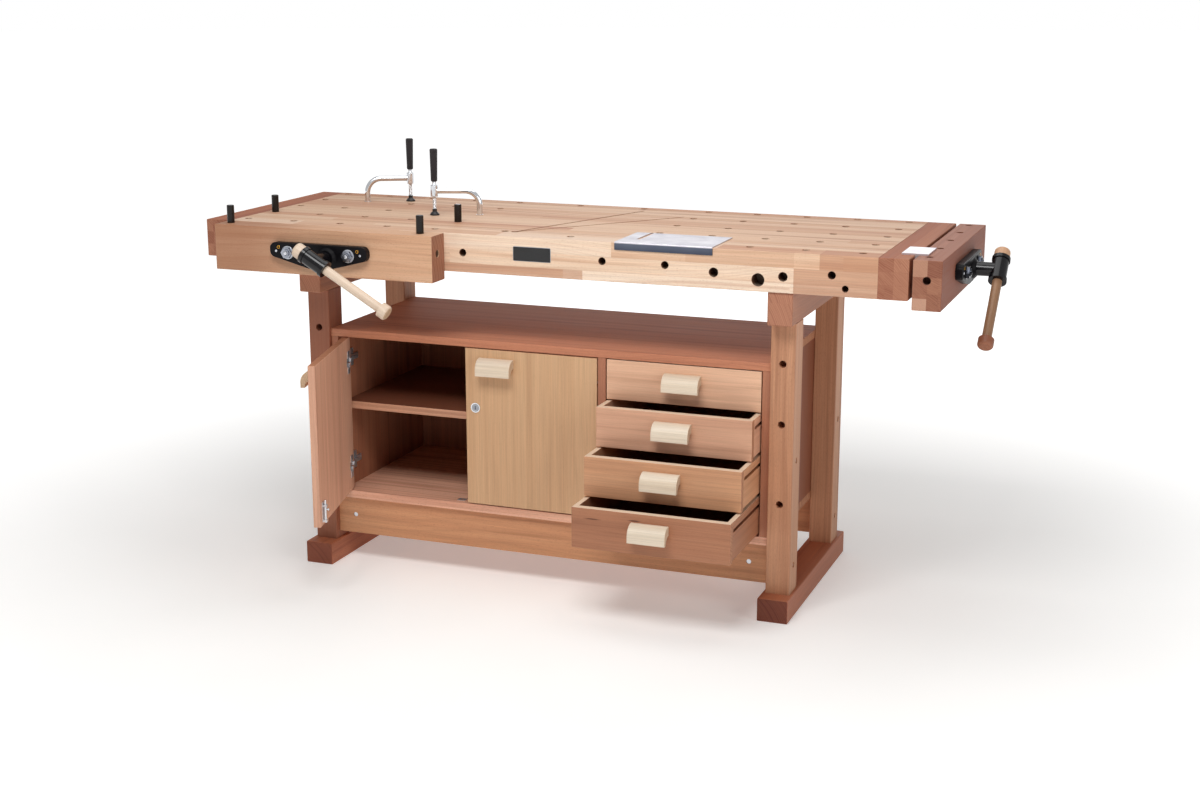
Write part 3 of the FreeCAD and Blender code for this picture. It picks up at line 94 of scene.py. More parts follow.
# Beech, planed, glued up in staves and oiled: soft satin, pink-brown, fine dark flecks.
# The eye gets calm straight grain on the long faces, rings on the sawn ends and a new tone at
# each stave. Growth rings of beech are 2 to 4 mm apart and its ray flecks 1 to 3 mm long. The
# flecks are drawn about twice as long as real, because they'd be lost at this size.
beech = {
    "grain": "X",               # axis that the fibres run along
    "wide": 40, "thick": 400, "long": None,   # stave sizes across, through and along, in mm
    "pale": "#E6BF9C", "mid": "#D4A27C", "deep": "#B77B58", "streak": "#9C5B3E",
    "sawnPale": "#C08A68", "sawnDeep": "#9A6247", "sawnTone": 0.6,
    "joint": (0, 0),            # where one joint lies, across and through, in mm
    "tone": 0.8,                # how much the staves differ
    "ring": 3.0, "ringDepth": 0.22, "pith": 70, "pithWander": 30,   # ring width and pith, in mm
    "lateFrom": 0.35, "lateFull": 0.95,       # part of a ring that darkens
    "streakDepth": 0.30, "streakFrom": 0.52, "streakFull": 0.74,
    "fleckDepth": 0.22, "fleckFrom": 0.66, "fleckFull": 0.74,
    "glue": 0.30, "glueHalf": 0.55,           # how dark the joints are, and their half width in mm
    "rough": 0.56, "bump": 0.10, "seed": 0.0, "ior": 1.46,
    "blocks": (),               # single blocks of another tree, and blocks of painted shade and painted light: limits, how much, and colour
    "marks": (),                # dark mineral streaks: place along and through, half sizes, how much
    "markColour": "#4E2418",
    "fade": None,               # the board darkens from one place to another along it
    "rimHighlight": None,            # colour of the painted highlight on the thin top edges of an open box
    "hole": 0.0, "holeColour": "#2A1510",     # how much painted shade darkens the cut faces within the part's box
    "turn": (0, 0, 0),          # turns the pattern with a piece that lies at an angle
    "behind": None,             # beyond this y the fibres run front to back, as in a drawer's side
}

# figure drawn out along the grain: cycles a metre along, across and through, then the noise's
# detail, roughness and distortion
beechFigure = {
    "wander": ((1.6, 5, 5), 1.0, 0.5, 0.0),     # the pith's way along the log
    "fibre": ((7, 420, 420), 3.0, 0.6, 0.0),    # real ones are 0.1 mm wide, drawn at 2.4 to show
    "band": ((1.3, 48, 48), 2.5, 0.55, 0.4),    # broad red-brown streaks of 20 mm
    "dash": ((150, 900, 900), 0.0, 0.5, 0.0),   # ray flecks
}


def makeWood(name, look, hull):
    look = {**beech, **look}
    material, add, surface = newMaterial(name)
    place = add("TexCoord")
    point, normal = place.outputs["Object"], place.outputs["Normal"]
    if any(look["turn"]):
        unturn = {"Rotation": [-math.radians(a) for a in look["turn"]]}
        point, normal = [add("Mapping", unturn, {0: source}) for source in (point, normal)]
    xyz = add("SeparateXYZ", {}, {0: point})
    facing = add("SeparateXYZ", {}, {0: normal})
    order = {"X": (0, 1, 2), "Y": (1, 0, 2), "Z": (2, 0, 1)}[look["grain"]]
    along, across, through = [xyz.outputs[i] for i in order]
    sawn = facing.outputs[order[0]]
    if look["behind"] is not None:
        back = add("Math", {"operation": "GREATER_THAN", 1: look["behind"]}, {0: xyz.outputs[1]})
        along, across, sawn = [add("Mix", {"data_type": "FLOAT"},
                                   {0: back, 2: source.outputs[near], 3: source.outputs[far]})
                               for source, near, far in ((xyz, 0, 1), (xyz, 1, 0), (facing, 0, 1))]

    # which stave a point is in: counted across, through and along
    counts, borders = [], []
    for source, size, joint in ((across, look["wide"], look["joint"][0]),
                                (through, look["thick"], look["joint"][1])):
        steps = add("Math", {"operation": "MULTIPLY_ADD", 1: 1 / (size * mm), 2: -joint / size},
                    {0: source})
        counts.append(add("Math", {"operation": "FLOOR"}, {0: steps}))
        inside = add("Math", {"operation": "FRACT"}, {0: steps})
        borders.append(add("Math", {"operation": "PINGPONG", 1: 0.5}, {0: inside}))
    row = add("CombineXYZ", {2: look["seed"] * 7.7}, {0: counts[0], 1: counts[1]})
    stagger = add("TexWhiteNoise", {}, {0: row})
    if look["long"]:
        lengths = add("Math", {"operation": "MULTIPLY_ADD", 1: 1 / (look["long"] * mm)},
                      {0: along, 2: stagger})
        counts.append(add("Math", {"operation": "FLOOR"}, {0: lengths}))
    stave = add("CombineXYZ", {}, dict(enumerate(counts)))
    stave = add("VectorMath", {"operation": "ADD", 1: (look["seed"], 3.1, 0.7)}, {0: stave})
    chance = add("TexWhiteNoise", {}, {0: stave}).outputs["Color"]
    luck = add("SeparateXYZ", {}, {0: chance}).outputs

    # the stave's own grain space, far from its neighbours' so that no figure runs across a joint
    flat = add("CombineXYZ", {}, {0: along, 1: across, 2: through})
    own = add("VectorMath", {"operation": "MULTIPLY_ADD", 1: (9, 7, 5)}, {0: chance, 2: flat})
    figure = {}
    for part, (stretch, detail, roughness, distortion) in beechFigure.items():
        drawn = add("VectorMath", {"operation": "MULTIPLY", 1: stretch}, {0: own})
        figure[part] = add("TexNoise", {"Scale": 1.0, "Detail": detail, "Roughness": roughness,
                                        "Distortion": distortion}, {0: drawn})
    fibre, band = figure["fibre"], figure["band"]
    streak = add("MapRange", {"interpolation_type": "SMOOTHSTEP", 1: look["streakFrom"],
                              2: look["streakFull"]}, {0: band})
    fleck = add("MapRange", {"interpolation_type": "SMOOTHSTEP", 1: look["fleckFrom"],
                             2: look["fleckFull"]}, {0: figure["dash"]})

    # rings about a pith that lies beside the stave and wanders a little along it
    pith, arms = look["pith"] * mm, []
    for source, dice, least, size in ((across, luck[0], 0.25, look["wide"]),
                                      (through, luck[1], 0.6, min(look["thick"], 60))):
        offset = add("Math", {"operation": "MULTIPLY_ADD", 1: pith, 2: pith * least}, {0: dice})
        cell = add("Math", {"operation": "WRAP", 1: size * mm, 2: 0.0}, {0: source})
        offset = add("Math", {"operation": "ADD"}, {0: offset, 1: cell})
        arms.append(add("Math", {"operation": "MULTIPLY_ADD", 1: look["pithWander"] * mm},
                        {0: figure["wander"], 2: offset}))
    arms = add("CombineXYZ", {}, {0: arms[0], 1: arms[1]})
    radius = add("VectorMath", {"operation": "LENGTH"}, {0: arms})
    rings = add("Math", {"operation": "MULTIPLY", 1: 1 / (look["ring"] * mm)}, {0: radius})
    uneven = add("TexNoise", {"noise_dimensions": "1D", "Scale": 0.35, "Detail": 2.0}, {"W": rings})
    rings = add("Math", {"operation": "MULTIPLY_ADD", 1: 3.0}, {0: uneven, 2: rings})
    rings = add("Math", {"operation": "FRACT"}, {0: rings})
    late = add("MapRange", {"interpolation_type": "SMOOTHERSTEP", 1: look["lateFrom"],
                            2: look["lateFull"]}, {0: rings})
    sharp = add("MapRange", {1: look["lateFull"], 2: 1.0, 3: 1.0, 4: 0.0}, {0: rings})
    late = add("Math", {"operation": "MULTIPLY"}, {0: late, 1: sharp})

    # colour of the long faces: stave's tone and band, then streaks, rings, flecks and fibres
    toned = add("Math", {"operation": "MULTIPLY_ADD", 1: look["tone"], 2: 0.2 - look["tone"] / 2},
                {0: luck[2]})
    toned = add("Math", {"operation": "MULTIPLY_ADD", 1: 0.6}, {0: band, 2: toned})
    colour = add("ValToRGB", {}, {0: toned})
    colour.color_ramp.elements[0].color = linear(look["pale"])
    colour.color_ramp.elements[1].color = linear(look["deep"])
    colour.color_ramp.elements.new(0.5).color = linear(look["mid"])
    for mask, depth, code in ((streak, look["streakDepth"], look["streak"]),
                              (late, look["ringDepth"], look["deep"]),
                              (fleck, look["fleckDepth"], look["streak"])):
        amount = add("Math", {"operation": "MULTIPLY", 1: depth}, {0: mask})
        colour = add("Mix", {"data_type": "RGBA", 7: linear(code)}, {0: amount, 6: colour})
    shade = add("MapRange", {1: 0.3, 2: 0.7, 3: 0.90, 4: 1.08}, {0: fibre})
    colour = add("VectorMath", {"operation": "SCALE"}, {0: colour, 3: shade})

    for x, z, long, high, amount in look["marks"]:
        away = add("CombineXYZ", {}, {0: along, 1: through})
        away = add("VectorMath", {"operation": "SUBTRACT", 1: (x * mm, z * mm, 0)}, {0: away})
        away = add("VectorMath", {"operation": "MULTIPLY",
                                  1: (1 / (long * mm), 1 / (high * mm), 0)}, {0: away})
        away = add("VectorMath", {"operation": "LENGTH"}, {0: away})
        mark = add("MapRange", {"interpolation_type": "SMOOTHSTEP", 1: 1.0, 2: 0.3, 4: amount},
                   {0: away})
        colour = add("Mix", {"data_type": "RGBA", 7: linear(look["markColour"])}, {0: mark, 6: colour})
    if look["fade"]:
        start, end, amount = look["fade"]
        darker = add("MapRange", {"interpolation_type": "SMOOTHSTEP", 1: start * mm, 2: end * mm,
                                  4: amount}, {0: along})
        colour = add("Mix", {"data_type": "RGBA", 7: linear(look["streak"])}, {0: darker, 6: colour})

    # sawn ends: darker, with the rings seen as arcs
    sawn = add("Math", {"operation": "ABSOLUTE"}, {0: sawn})
    endMask = add("MapRange", {1: 0.6, 2: 0.8}, {0: sawn})
    endTone = add("Math", {"operation": "MULTIPLY", 1: look["sawnTone"]}, {0: luck[2]})
    endTone = add("Math", {"operation": "MULTIPLY_ADD", 1: 0.55}, {0: late, 2: endTone})
    endColour = add("Mix", {"data_type": "RGBA", 6: linear(look["sawnPale"]),
                            7: linear(look["sawnDeep"])}, {0: endTone})
    colour = add("Mix", {"data_type": "RGBA"}, {0: endMask, 6: colour, 7: endColour})

    # single blocks of another tree, and blocks of painted shade and painted light, within limits along
    # (0), across (1) and through (2) the grain
    for limits, amount, code in look["blocks"]:
        mask = None
        for axis, start, end in limits:
            for limit, test in ((start, "GREATER_THAN"), (end, "LESS_THAN")):
                inside = add("Math", {"operation": test, 1: limit * mm},
                             {0: (along, across, through)[axis]})
                mask = inside if mask is None else \
                    add("Math", {"operation": "MULTIPLY"}, {0: mask, 1: inside})
        block = add("Mix", {"data_type": "RGBA", 6: linear(code or look["deep"]),
                            7: linear(code or look["streak"])}, {0: band})
        block = add("VectorMath", {"operation": "SCALE"}, {0: block, 3: shade})
        mask = add("Math", {"operation": "MULTIPLY", 1: amount}, {0: mask})
        colour = add("Mix", {"data_type": "RGBA"}, {0: mask, 6: colour, 7: block})

    if look["glue"]:
        # thin glue lines between staves
        lines = [add("MapRange", {2: look["glueHalf"] / size, 3: 1.0, 4: 0.0}, {0: border})
                 for border, size in zip(borders, (look["wide"], look["thick"]))]
        line = add("Math", {"operation": "MAXIMUM"}, {0: lines[0], 1: lines[1]})
        line = add("Math", {"operation": "MULTIPLY", 1: look["glue"]}, {0: line})
        colour = add("Mix", {"data_type": "RGBA", 7: linear(look["streak"])}, {0: line, 6: colour})
    if look["hole"]:
        # painted shade on the walls of holes and grooves, bored or routed across the fibres, and on the
        # inner faces of open boxes
        low, high = hull
        away = add("VectorMath", {"operation": "SUBTRACT", 1: (low + high) / 2}, {0: point})
        away = add("VectorMath", {"operation": "ABSOLUTE"}, {0: away})
        depth = add("VectorMath", {"operation": "SUBTRACT", 0: (high - low) / 2}, {1: away})
        depth = add("SeparateXYZ", {}, {0: depth}).outputs
        least = add("Math", {"operation": "MINIMUM"}, {0: depth[0], 1: depth[1]})
        least = add("Math", {"operation": "MINIMUM"}, {0: least, 1: depth[2]})
        sunk = add("MapRange", {1: 1.2 * mm, 2: 3.0 * mm, 4: look["hole"]}, {0: least})
        colour = add("Mix", {"data_type": "RGBA", 7: linear(look["holeColour"])}, {0: sunk, 6: colour})
    if look["rimHighlight"]:
        # painted highlight on the top edges of a drawer's thin boards, where they face up to the lamps
        up = add("Math", {"operation": "GREATER_THAN", 1: 0.8}, {0: facing.outputs[2]})
        near = add("Math", {"operation": "GREATER_THAN", 1: hull[1].z - 4 * mm}, {0: xyz.outputs[2]})
        both = add("Math", {"operation": "MULTIPLY"}, {0: up, 1: near})
        rimLit = add("VectorMath", {"operation": "SCALE", 0: linear(look["rimHighlight"])[:3]}, {3: shade})
        colour = add("Mix", {"data_type": "RGBA"}, {0: both, 6: colour, 7: rimLit})

    # oil leaves the late wood a little glossier, and planing leaves the fibres just felt
    shine = add("MapRange", {1: 0.3, 2: 0.7, 3: look["rough"] - 0.05, 4: look["rough"] + 0.08},
                {0: fibre})
    shine = add("Math", {"operation": "MULTIPLY_ADD", 1: 0.15}, {0: endMask, 2: shine})
    height = add("Math", {"operation": "MULTIPLY_ADD", 1: -0.4}, {0: late, 2: fibre})
    relief = add("Bump", {"Strength": look["bump"], "Distance": 0.6 * mm}, {"Height": height})
    plug(surface, {"Base Color": colour, "Roughness": shine, "Normal": relief})
    surface.inputs["IOR"].default_value = look["ior"]
    return material


# Metals, enamel, plastic and rubber: two colours that cloud into each other, how rough from the
# smoothest to the roughest place, and the grain in cycles a metre. Brushing lines of 0.3 mm are
# drawn at 0.8 mm, and moulding and casting grain at 1 to 4 mm, so that they show. The grain stands
# 0.4 mm high at a bump of 1, unless "deep" says otherwise.
finishes = {
    # iron cast in sand, black enamel: wet-looking, with a soft orange-peel
    "cast": {"base": "#08070A", "mix": "#121013", "metal": 0.0, "rough": (0.12, 0.22), "ior": 1.45,
             "grain": (260, 260, 260), "bump": 0.03, "specular": 0.30},
    # steel, polished and chromed: bright mirror
    "chrome": {"base": "#E9EBEE", "mix": "#D5D8DD", "metal": 1.0, "rough": (0.05, 0.12),
               "grain": (90, 90, 90), "bump": 0.0},
    # steel, zinc plated: cool and a little cloudy
    "zinc": {"base": "#E4E6EB", "mix": "#C9CCD4", "metal": 0.9, "rough": (0.26, 0.42),
             "grain": (160, 160, 160), "bump": 0.03},
    # zinc on machined nuts: greyer, with sharper glints
    "nut": {"base": "#B4B7C0", "mix": "#878B96", "metal": 1.0, "rough": (0.14, 0.28),
            "grain": (160, 160, 160), "bump": 0.03},
    # zinc on the end vise's nuts, painted dark as painted shade: dark grey glints
    "darkNut": {"base": "#33353B", "mix": "#202227", "metal": 1.0, "rough": (0.16, 0.30),
                "grain": (160, 160, 160), "bump": 0.03},
    # sheet steel, brushed one way: long faint lines
    "brushed": {"base": "#E4E1E6", "mix": "#CFCBD4", "metal": 1.0, "rough": (0.24, 0.40),
                "grain": (30, 1200, 1200), "bump": 0.05},
    # round steel, ground: smooth, with faint lines
    "polished": {"base": "#DADBDF", "mix": "#C3C5CB", "metal": 1.0, "rough": (0.08, 0.18),
                 "grain": (700, 40, 700), "bump": 0.02},
    # steel, turned and black oxided: nearly black, oily glints
    "oxide": {"base": "#110D0B", "mix": "#1F1713", "metal": 0.4, "rough": (0.14, 0.30),
              "grain": (220, 220, 700), "bump": 0.06},
    # brass, turned: warm yellow
    "brass": {"base": "#D9A441", "mix": "#B98330", "metal": 1.0, "rough": (0.18, 0.32),
              "grain": (400, 400, 400), "bump": 0.03},
    # nylon, moulded: soft black with a spark-eroded grain
    "plastic": {"base": "#1C1A1D", "mix": "#2B272B", "metal": 0.0, "rough": (0.38, 0.55), "ior": 1.46,
                "grain": (900, 900, 900), "bump": 0.10},
    # rubber, moulded: deep black, dull
    "rubber": {"base": "#0F0E0F", "mix": "#1B191A", "metal": 0.0, "rough": (0.25, 0.42), "ior": 1.5,
               "grain": (700, 700, 700), "bump": 0.08},
}


def finishInputs(add, look):
    # colour, roughness and bump height of one finish, from noise at the finish's own scale
    place = add("TexCoord").outputs["Object"]
    stretched = add("VectorMath", {"operation": "MULTIPLY", 1: look["grain"]}, {0: place})
    fine = add("TexNoise", {"Scale": 1.0, "Detail": 3.0}, {0: stretched})
    cloudy = add("TexNoise", {"Scale": 22.0, "Detail": 2.0}, {0: place})
    both = add("Math", {"operation": "ADD"}, {0: fine, 1: cloudy})
    blend = add("MapRange", {1: 0.7, 2: 1.3}, {0: both})
    colour = add("Mix", {"data_type": "RGBA", 6: linear(look["base"]), 7: linear(look["mix"])},
                 {0: blend})
    rough = add("MapRange", {1: 0.7, 2: 1.3, 3: look["rough"][0], 4: look["rough"][1]}, {0: both})
    return colour, rough, fine


def makeFinish(name, kind, detail=None, **changes):
    # detail: a function that takes add and the finish's colour, and gives more links of the shader
    look = {**finishes[kind], **changes}
    material, add, surface = newMaterial(name)
    colour, rough, fine = finishInputs(add, look)
    surface.inputs["Metallic"].default_value = look["metal"]
    if "ior" in look:
        surface.inputs["IOR"].default_value = look["ior"]
    if "specular" in look:
        surface.inputs["Specular IOR Level"].default_value = look["specular"]
    extra = detail(add, colour) if detail else {}
    plug(surface, {"Base Color": colour, "Roughness": rough, **extra})
    if look["bump"]:
        relief = add("Bump", {"Strength": look["bump"], "Distance": look.get("deep", 0.4) * mm},
                     {"Height": fine})
        plug(surface, {"Normal": relief})
    return material


# A part that is one piece here but has several finishes on the real bench, such as a steel screw
# in a black enamelled hub. Each zone is a finish, where it ends along the axis, and its relief:
# ("thread", pitch in mm) or ("ribs", how many round the shaft).
def makeZones(name, axis, zones, centre=None):
    material, add, surface = newMaterial(name)
    place = add("TexCoord").outputs["Object"]
    xyz = add("SeparateXYZ", {}, {0: place}).outputs
    main = xyz["XYZ".index(axis)]
    if centre is not None:
        arms = [add("Math", {"operation": "SUBTRACT", 1: centre[i]}, {0: xyz[i]})
                for i in range(3) if "XYZ"[i] != axis]
        angle = add("Math", {"operation": "ARCTAN2"}, {0: arms[0], 1: arms[1]})
    blended = None
    for kind, end, relief in reversed(zones):
        colour, rough, fine = finishInputs(add, finishes[kind])
        metal = finishes[kind]["metal"]
        if relief and relief[0] == "thread":
            turns = add("Math", {"operation": "MULTIPLY_ADD", 1: 2 * math.pi / (relief[1] * mm)},
                        {0: main, 2: angle})
        elif relief:
            turns = add("Math", {"operation": "MULTIPLY", 1: relief[1]}, {0: angle})
        if relief:
            wave = add("Math", {"operation": "SINE"}, {0: turns})
        else:
            wave = add("Math", {"operation": "MULTIPLY", 1: finishes[kind]["bump"]}, {0: fine})
        if blended is None:
            blended = [colour, rough, metal, wave]
            continue
        past = add("Math", {"operation": "GREATER_THAN", 1: end}, {0: main})
        colour = add("Mix", {"data_type": "RGBA"}, {0: past, 6: colour, 7: blended[0]})
        rough = add("Mix", {"data_type": "FLOAT"}, {0: past, 2: rough, 3: blended[1]})
        wave = add("Mix", {"data_type": "FLOAT"}, {0: past, 2: wave, 3: blended[3]})
        settings, links = {"data_type": "FLOAT", 2: metal}, {0: past}
        (settings if isinstance(blended[2], float) else links)[3] = blended[2]
        blended = [colour, rough, add("Mix", settings, links), wave]
    relief = add("Bump", {"Strength": 0.5, "Distance": 1.2 * mm}, {"Height": blended[3]})
    plug(surface, {"Base Color": blended[0], "Roughness": blended[1], "Metallic": blended[2],
                   "Normal": relief})
    surface.inputs["Specular IOR Level"].default_value = 0.35
    return material


def paint(name, material):
    part = nodes[name]
    part.data.materials.clear()
    part.data.materials.append(material)
    for face in part.data.polygons:
        face.material_index = 0


# steamed beech of the two end caps: red-brown, with dark sawn ends
endCap = {"grain": "Y", "wide": 35, "thick": 31, "tone": 0.8, "seed": 3.0, "pale": "#BE7F5F",
          "mid": "#AC6B4C", "deep": "#905139", "streak": "#763A26", "sawnPale": "#B07A5F",
          "sawnDeep": "#8B533E", "hole": 0.7, "rough": 0.64, "sawnTone": 0.75}
plain = {"wide": 400, "thick": 400, "tone": 0.0, "glue": 0}     # sawn from one board, no joints
veneer = {"wide": 400, "thick": 400, "tone": 0.2, "glue": 0}
birch = {**plain, "streakDepth": 0.25, "fleckDepth": 0.1, "ringDepth": 0.2, "rough": 0.42}

# wood of each part: beech in the tone of its own boards, birch pulls and ash handles
woods = {
    # pale staves in changing tones, with painted shade in the dog holes
    "beech_top_planed_oiled": {
        "parts": ["top_panel"], "wide": 41, "long": 2600, "joint": (-103.3, 0), "tone": 0.75,
        "seed": 0.13, "pale": "#E6C9AE", "mid": "#D6AE8E", "deep": "#BC8668", "streak": "#96573F",
        "streakDepth": 0.50, "ringDepth": 0.28, "glue": 0.35, "hole": 0.92},
    # near white, three rows of short blocks, some of them brown
    "beech_front_rail_planed_oiled": {
        "parts": ["front_rail"], "wide": 400, "thick": 36, "long": 560, "joint": (0, 828),
        "tone": 0.85, "seed": 5.0, "pale": "#F2DDC8", "mid": "#E7C7AA", "deep": "#CB9874",
        "streak": "#A5694E", "glue": 0.18, "hole": 0.75,
        "blocks": ((((0, -930, 42), (2, 790, 828)), 0.62, None),
                   (((0, -930, -520), (2, 828, 864)), 0.25, None),
                   (((0, 560, 760), (2, 790, 864)), 0.72, None),
                   (((0, 300, 560), (2, 864, 901)), 0.22, None),
                   (((0, 620, 760), (2, 864, 901)), 0.66, None))},
    "beech_back_rail_planed_oiled": {
        "parts": ["back_rail"], "wide": 400, "thick": 36, "long": 640, "joint": (0, 828),
        "tone": 0.7, "seed": 2.0, "pale": "#E4C3A4", "mid": "#D2A582", "deep": "#B98361", "hole": 0.7},
    "beech_left_cap_planed_oiled": {"parts": ["left_end_cap"], **endCap},
    "beech_right_cap_planed_oiled": {"parts": ["right_end_cap"], **endCap, "joint": (754.45, 900)},
    # one wide calm board that goes red-brown towards its left end
    "beech_front_jaw_planed_oiled": {
        "parts": ["front_jaw"], "wide": 400, "thick": 600, "joint": (-300, 0), "tone": 0.0,
        "seed": 0.71, "pale": "#E6C1A3", "mid": "#D3A684", "deep": "#B47F5D", "streak": "#905839",
        "ring": 9, "ringDepth": 0.28, "glue": 0, "sawnPale": "#A87459", "sawnDeep": "#85513B",
        "fade": (-600, -860, 0.62), "hole": 0.7},
    # steamed beech like the caps, its outer end face darkened as painted shade, with two pale blocks in
    # its sawn front
    "beech_end_jaw_planed_oiled": {
        "parts": ["end_jaw"], "grain": "Y", "wide": 33, "thick": 38.3, "joint": (832.55, 900),
        "seed": 0.83, "pale": "#CE9C88", "mid": "#BC8873", "deep": "#955D48", "streak": "#6B3424",
        "sawnPale": "#A16E55", "sawnDeep": "#804C3A", "hole": 0.7, "rough": 0.64, "sawnTone": 0.8,
        "blocks": ((((1, 897.8, 900),), 0.85, "#8A4E36"),
                   (((0, -170, -166), (1, 832, 865.5), (2, 861.7, 901)), 0.45, "#CFA084"),
                   (((0, -170, -166), (1, 832, 865.5), (2, 784, 813)), 0.60, "#D2A78E"))},
    # tall quiet boards, the left front one painted darker and redder, as painted shade
    "beech_leg_planed_oiled": {
        "parts": ["legs"], **plain, "grain": "Z", "seed": 0.23, "pale": "#DDAE8C", "mid": "#C6906D",
        "deep": "#A26D4F", "streak": "#80472F", "ring": 7, "joint": (-600, -250),
        # painted shade: this block darkens the whole front left leg
        "blocks": ((((1, -800, -500), (2, -200, 0)), 0.75, "#81412C"),)},
    # red-brown, with the rings as arcs at the front ends
    "beech_foot_planed_oiled": {
        "parts": ["feet"], **plain, "grain": "Y", "seed": 0.37, "pale": "#CC8460", "mid": "#B26C4C",
        "deep": "#935338", "streak": "#6C3423", "sawnPale": "#93523B", "sawnDeep": "#6A3424"},
    "beech_beam_planed_oiled": {
        "parts": ["beams"], **plain, "grain": "Y", "seed": 0.43, "pale": "#C38B6C", "mid": "#AB7253",
        "deep": "#8D583F", "streak": "#754431", "sawnPale": "#BC8467", "sawnDeep": "#945E49"},
    # orange-brown, long wide figure
    "beech_stretcher_planed_oiled": {
        "parts": ["front_stretcher", "back_stretcher"], **plain, "seed": 0.51, "pale": "#E9B386",
        "mid": "#CF946B", "deep": "#AD7550", "streak": "#8F5434", "ring": 9, "ringDepth": 0.2,
        "streakDepth": 0.25, "joint": (-300, -100)},
    # cabinet of veneered board: even, nearly no joints, with painted shade on the outer faces of the
    # sides
    "beech_veneer_cabinet_side": {
        "parts": ["cabinet_sides", "cabinet_divider", "cabinet_back"], "grain": "Z", "wide": 90,
        "thick": 400, "tone": 0.3, "seed": 0.61, "pale": "#C98F6E", "mid": "#B47658",
        "deep": "#985F46", "streak": "#7A4632", "glue": 0.1,
        "blocks": ((((1, 497, 500),), 0.9, "#82492F"), (((1, -677, -674),), 0.9, "#82492F"))},
    "beech_veneer_shelf": {
        "parts": ["cupboard_shelf"], **veneer, "seed": 0.67, "pale": "#EABE9E", "mid": "#DBA98A",
        "deep": "#B07B5E", "streak": "#854F39", "joint": (-300, 0),
        # painted shade: the shelf behind its front edge is darkened, as in the shade of the top above
        "blocks": ((((1, -86.5, 400),), 0.95, "#6A3823"),)},
    "beech_veneer_cabinet_top": {
        "parts": ["cabinet_top"], **veneer, "seed": 0.69, "pale": "#DA9A78", "mid": "#C37F5F",
        "deep": "#A36347", "streak": "#864A36", "rough": 0.62, "joint": (-300, 0)},
    # wide arches, as of veneer cut along the log
    "beech_veneer_cupboard_floor": {
        "parts": ["cabinet_floor"], **veneer, "wide": 700, "seed": 0.73, "pale": "#FBCDB0",
        "mid": "#E9B295", "deep": "#C4866A", "streak": "#975B43", "ring": 16, "ringDepth": 0.45,
        "pith": 25, "joint": (-420, 0)},
    # closed door: pale straw with upright stripes
    "beech_veneer_door_pale": {
        "parts": ["right_door"], **veneer, "grain": "Z", "wide": 130, "seed": 0.77, "pale": "#DDB78E",
        "mid": "#CFA57D", "deep": "#B88B66", "streak": "#A07650", "streakDepth": 0.2,
        "fleckDepth": 0.12, "glue": 0.06, "ring": 6, "ringDepth": 0.16},
    # open door's inside: pinker than its neighbour, partly its own veneer and partly painted light,
    # brightened where it faces the right-hand lamp
    "beech_veneer_door_inside": {
        "parts": ["left_door"], **veneer, "grain": "Z", "wide": 130, "seed": 0.81, "pale": "#F9CDAC",
        "mid": "#E4B194", "deep": "#C0896F", "streak": "#A1684F", "streakDepth": 0.25,
        "fleckDepth": 0.15, "glue": 0.06, "ring": 7, "ringDepth": 0.25, "turn": (0, 0, -75)},
    # pulls of birch, moulded to a hollow and lacquered: creamy, with a low shine
    "birch_pull_moulded_pale": {
        "parts": ["right_door_pull", *(f"drawer_{i}_pull" for i in (1, 2, 3, 4))], **birch,
        "seed": 0.91, "pale": "#F4EADC", "mid": "#E9D9C3", "deep": "#D4BB9D", "streak": "#BE9E7B",
        "sawnPale": "#DFCBB0", "sawnDeep": "#C2A486"},
    # the open door's pull: the same birch painted darker, as painted shade
    "birch_pull_moulded_shaded_turned": {
        "parts": ["left_door_pull"], **birch, "seed": 0.93, "pale": "#E0CAB0", "mid": "#D3B799",
        "deep": "#BF9D7B", "streak": "#AB8661", "sawnPale": "#CCAF8F", "sawnDeep": "#B08E6D",
        "turn": (0, 0, -75)},
    # handle of ash, turned and waxed: pale, smooth in the hand
    "ash_handle_turned_waxed": {
        "parts": ["front_handle"], **plain, "seed": 0.87, "pale": "#EDDFCF", "mid": "#DEC8B2",
        "deep": "#C5A88B", "streak": "#AA896B", "sawnPale": "#D9BEA1", "sawnDeep": "#B79777",
        "rough": 0.40, "turn": (0, 30.6, 0), "joint": (-600, 600)},
    # the same handle oiled brown, with one red-brown knob and one knob painted pale, as painted light
    # falling on it from above
    "ash_handle_turned_oiled": {
        "parts": ["end_handle"], **plain, "grain": "Y", "seed": 0.89, "pale": "#B08868",
        "mid": "#956F52", "deep": "#79563E", "streak": "#61412D", "sawnPale": "#C3956F",
        "sawnDeep": "#9A6B4B", "rough": 0.42, "turn": (42.5, 0, 0), "joint": (800, 500),
        "blocks": ((((0, 700, 760),), 0.9, "#D3A684"), (((0, 440, 480),), 0.7, "#8A4A33"))},
}

# drawers of one board each, lacquered: each one darker than the one above, as painted shade that
# deepens downwards, with a painted highlight on the rims
drawer = {**plain, "ring": 7, "ringDepth": 0.14, "streakDepth": 0.22, "fleckDepth": 0.12,
          "joint": (-600, 100), "rough": 0.5, "hole": 0.3, "rimHighlight": "#EAD2B8",
          # painted shade: this block darkens the outer face of each drawer's right-hand side
          "blocks": ((((1, 475.5, 480),), 0.75, None),)}
drawerFront = 18.2      # thickness of a drawer's front in mm
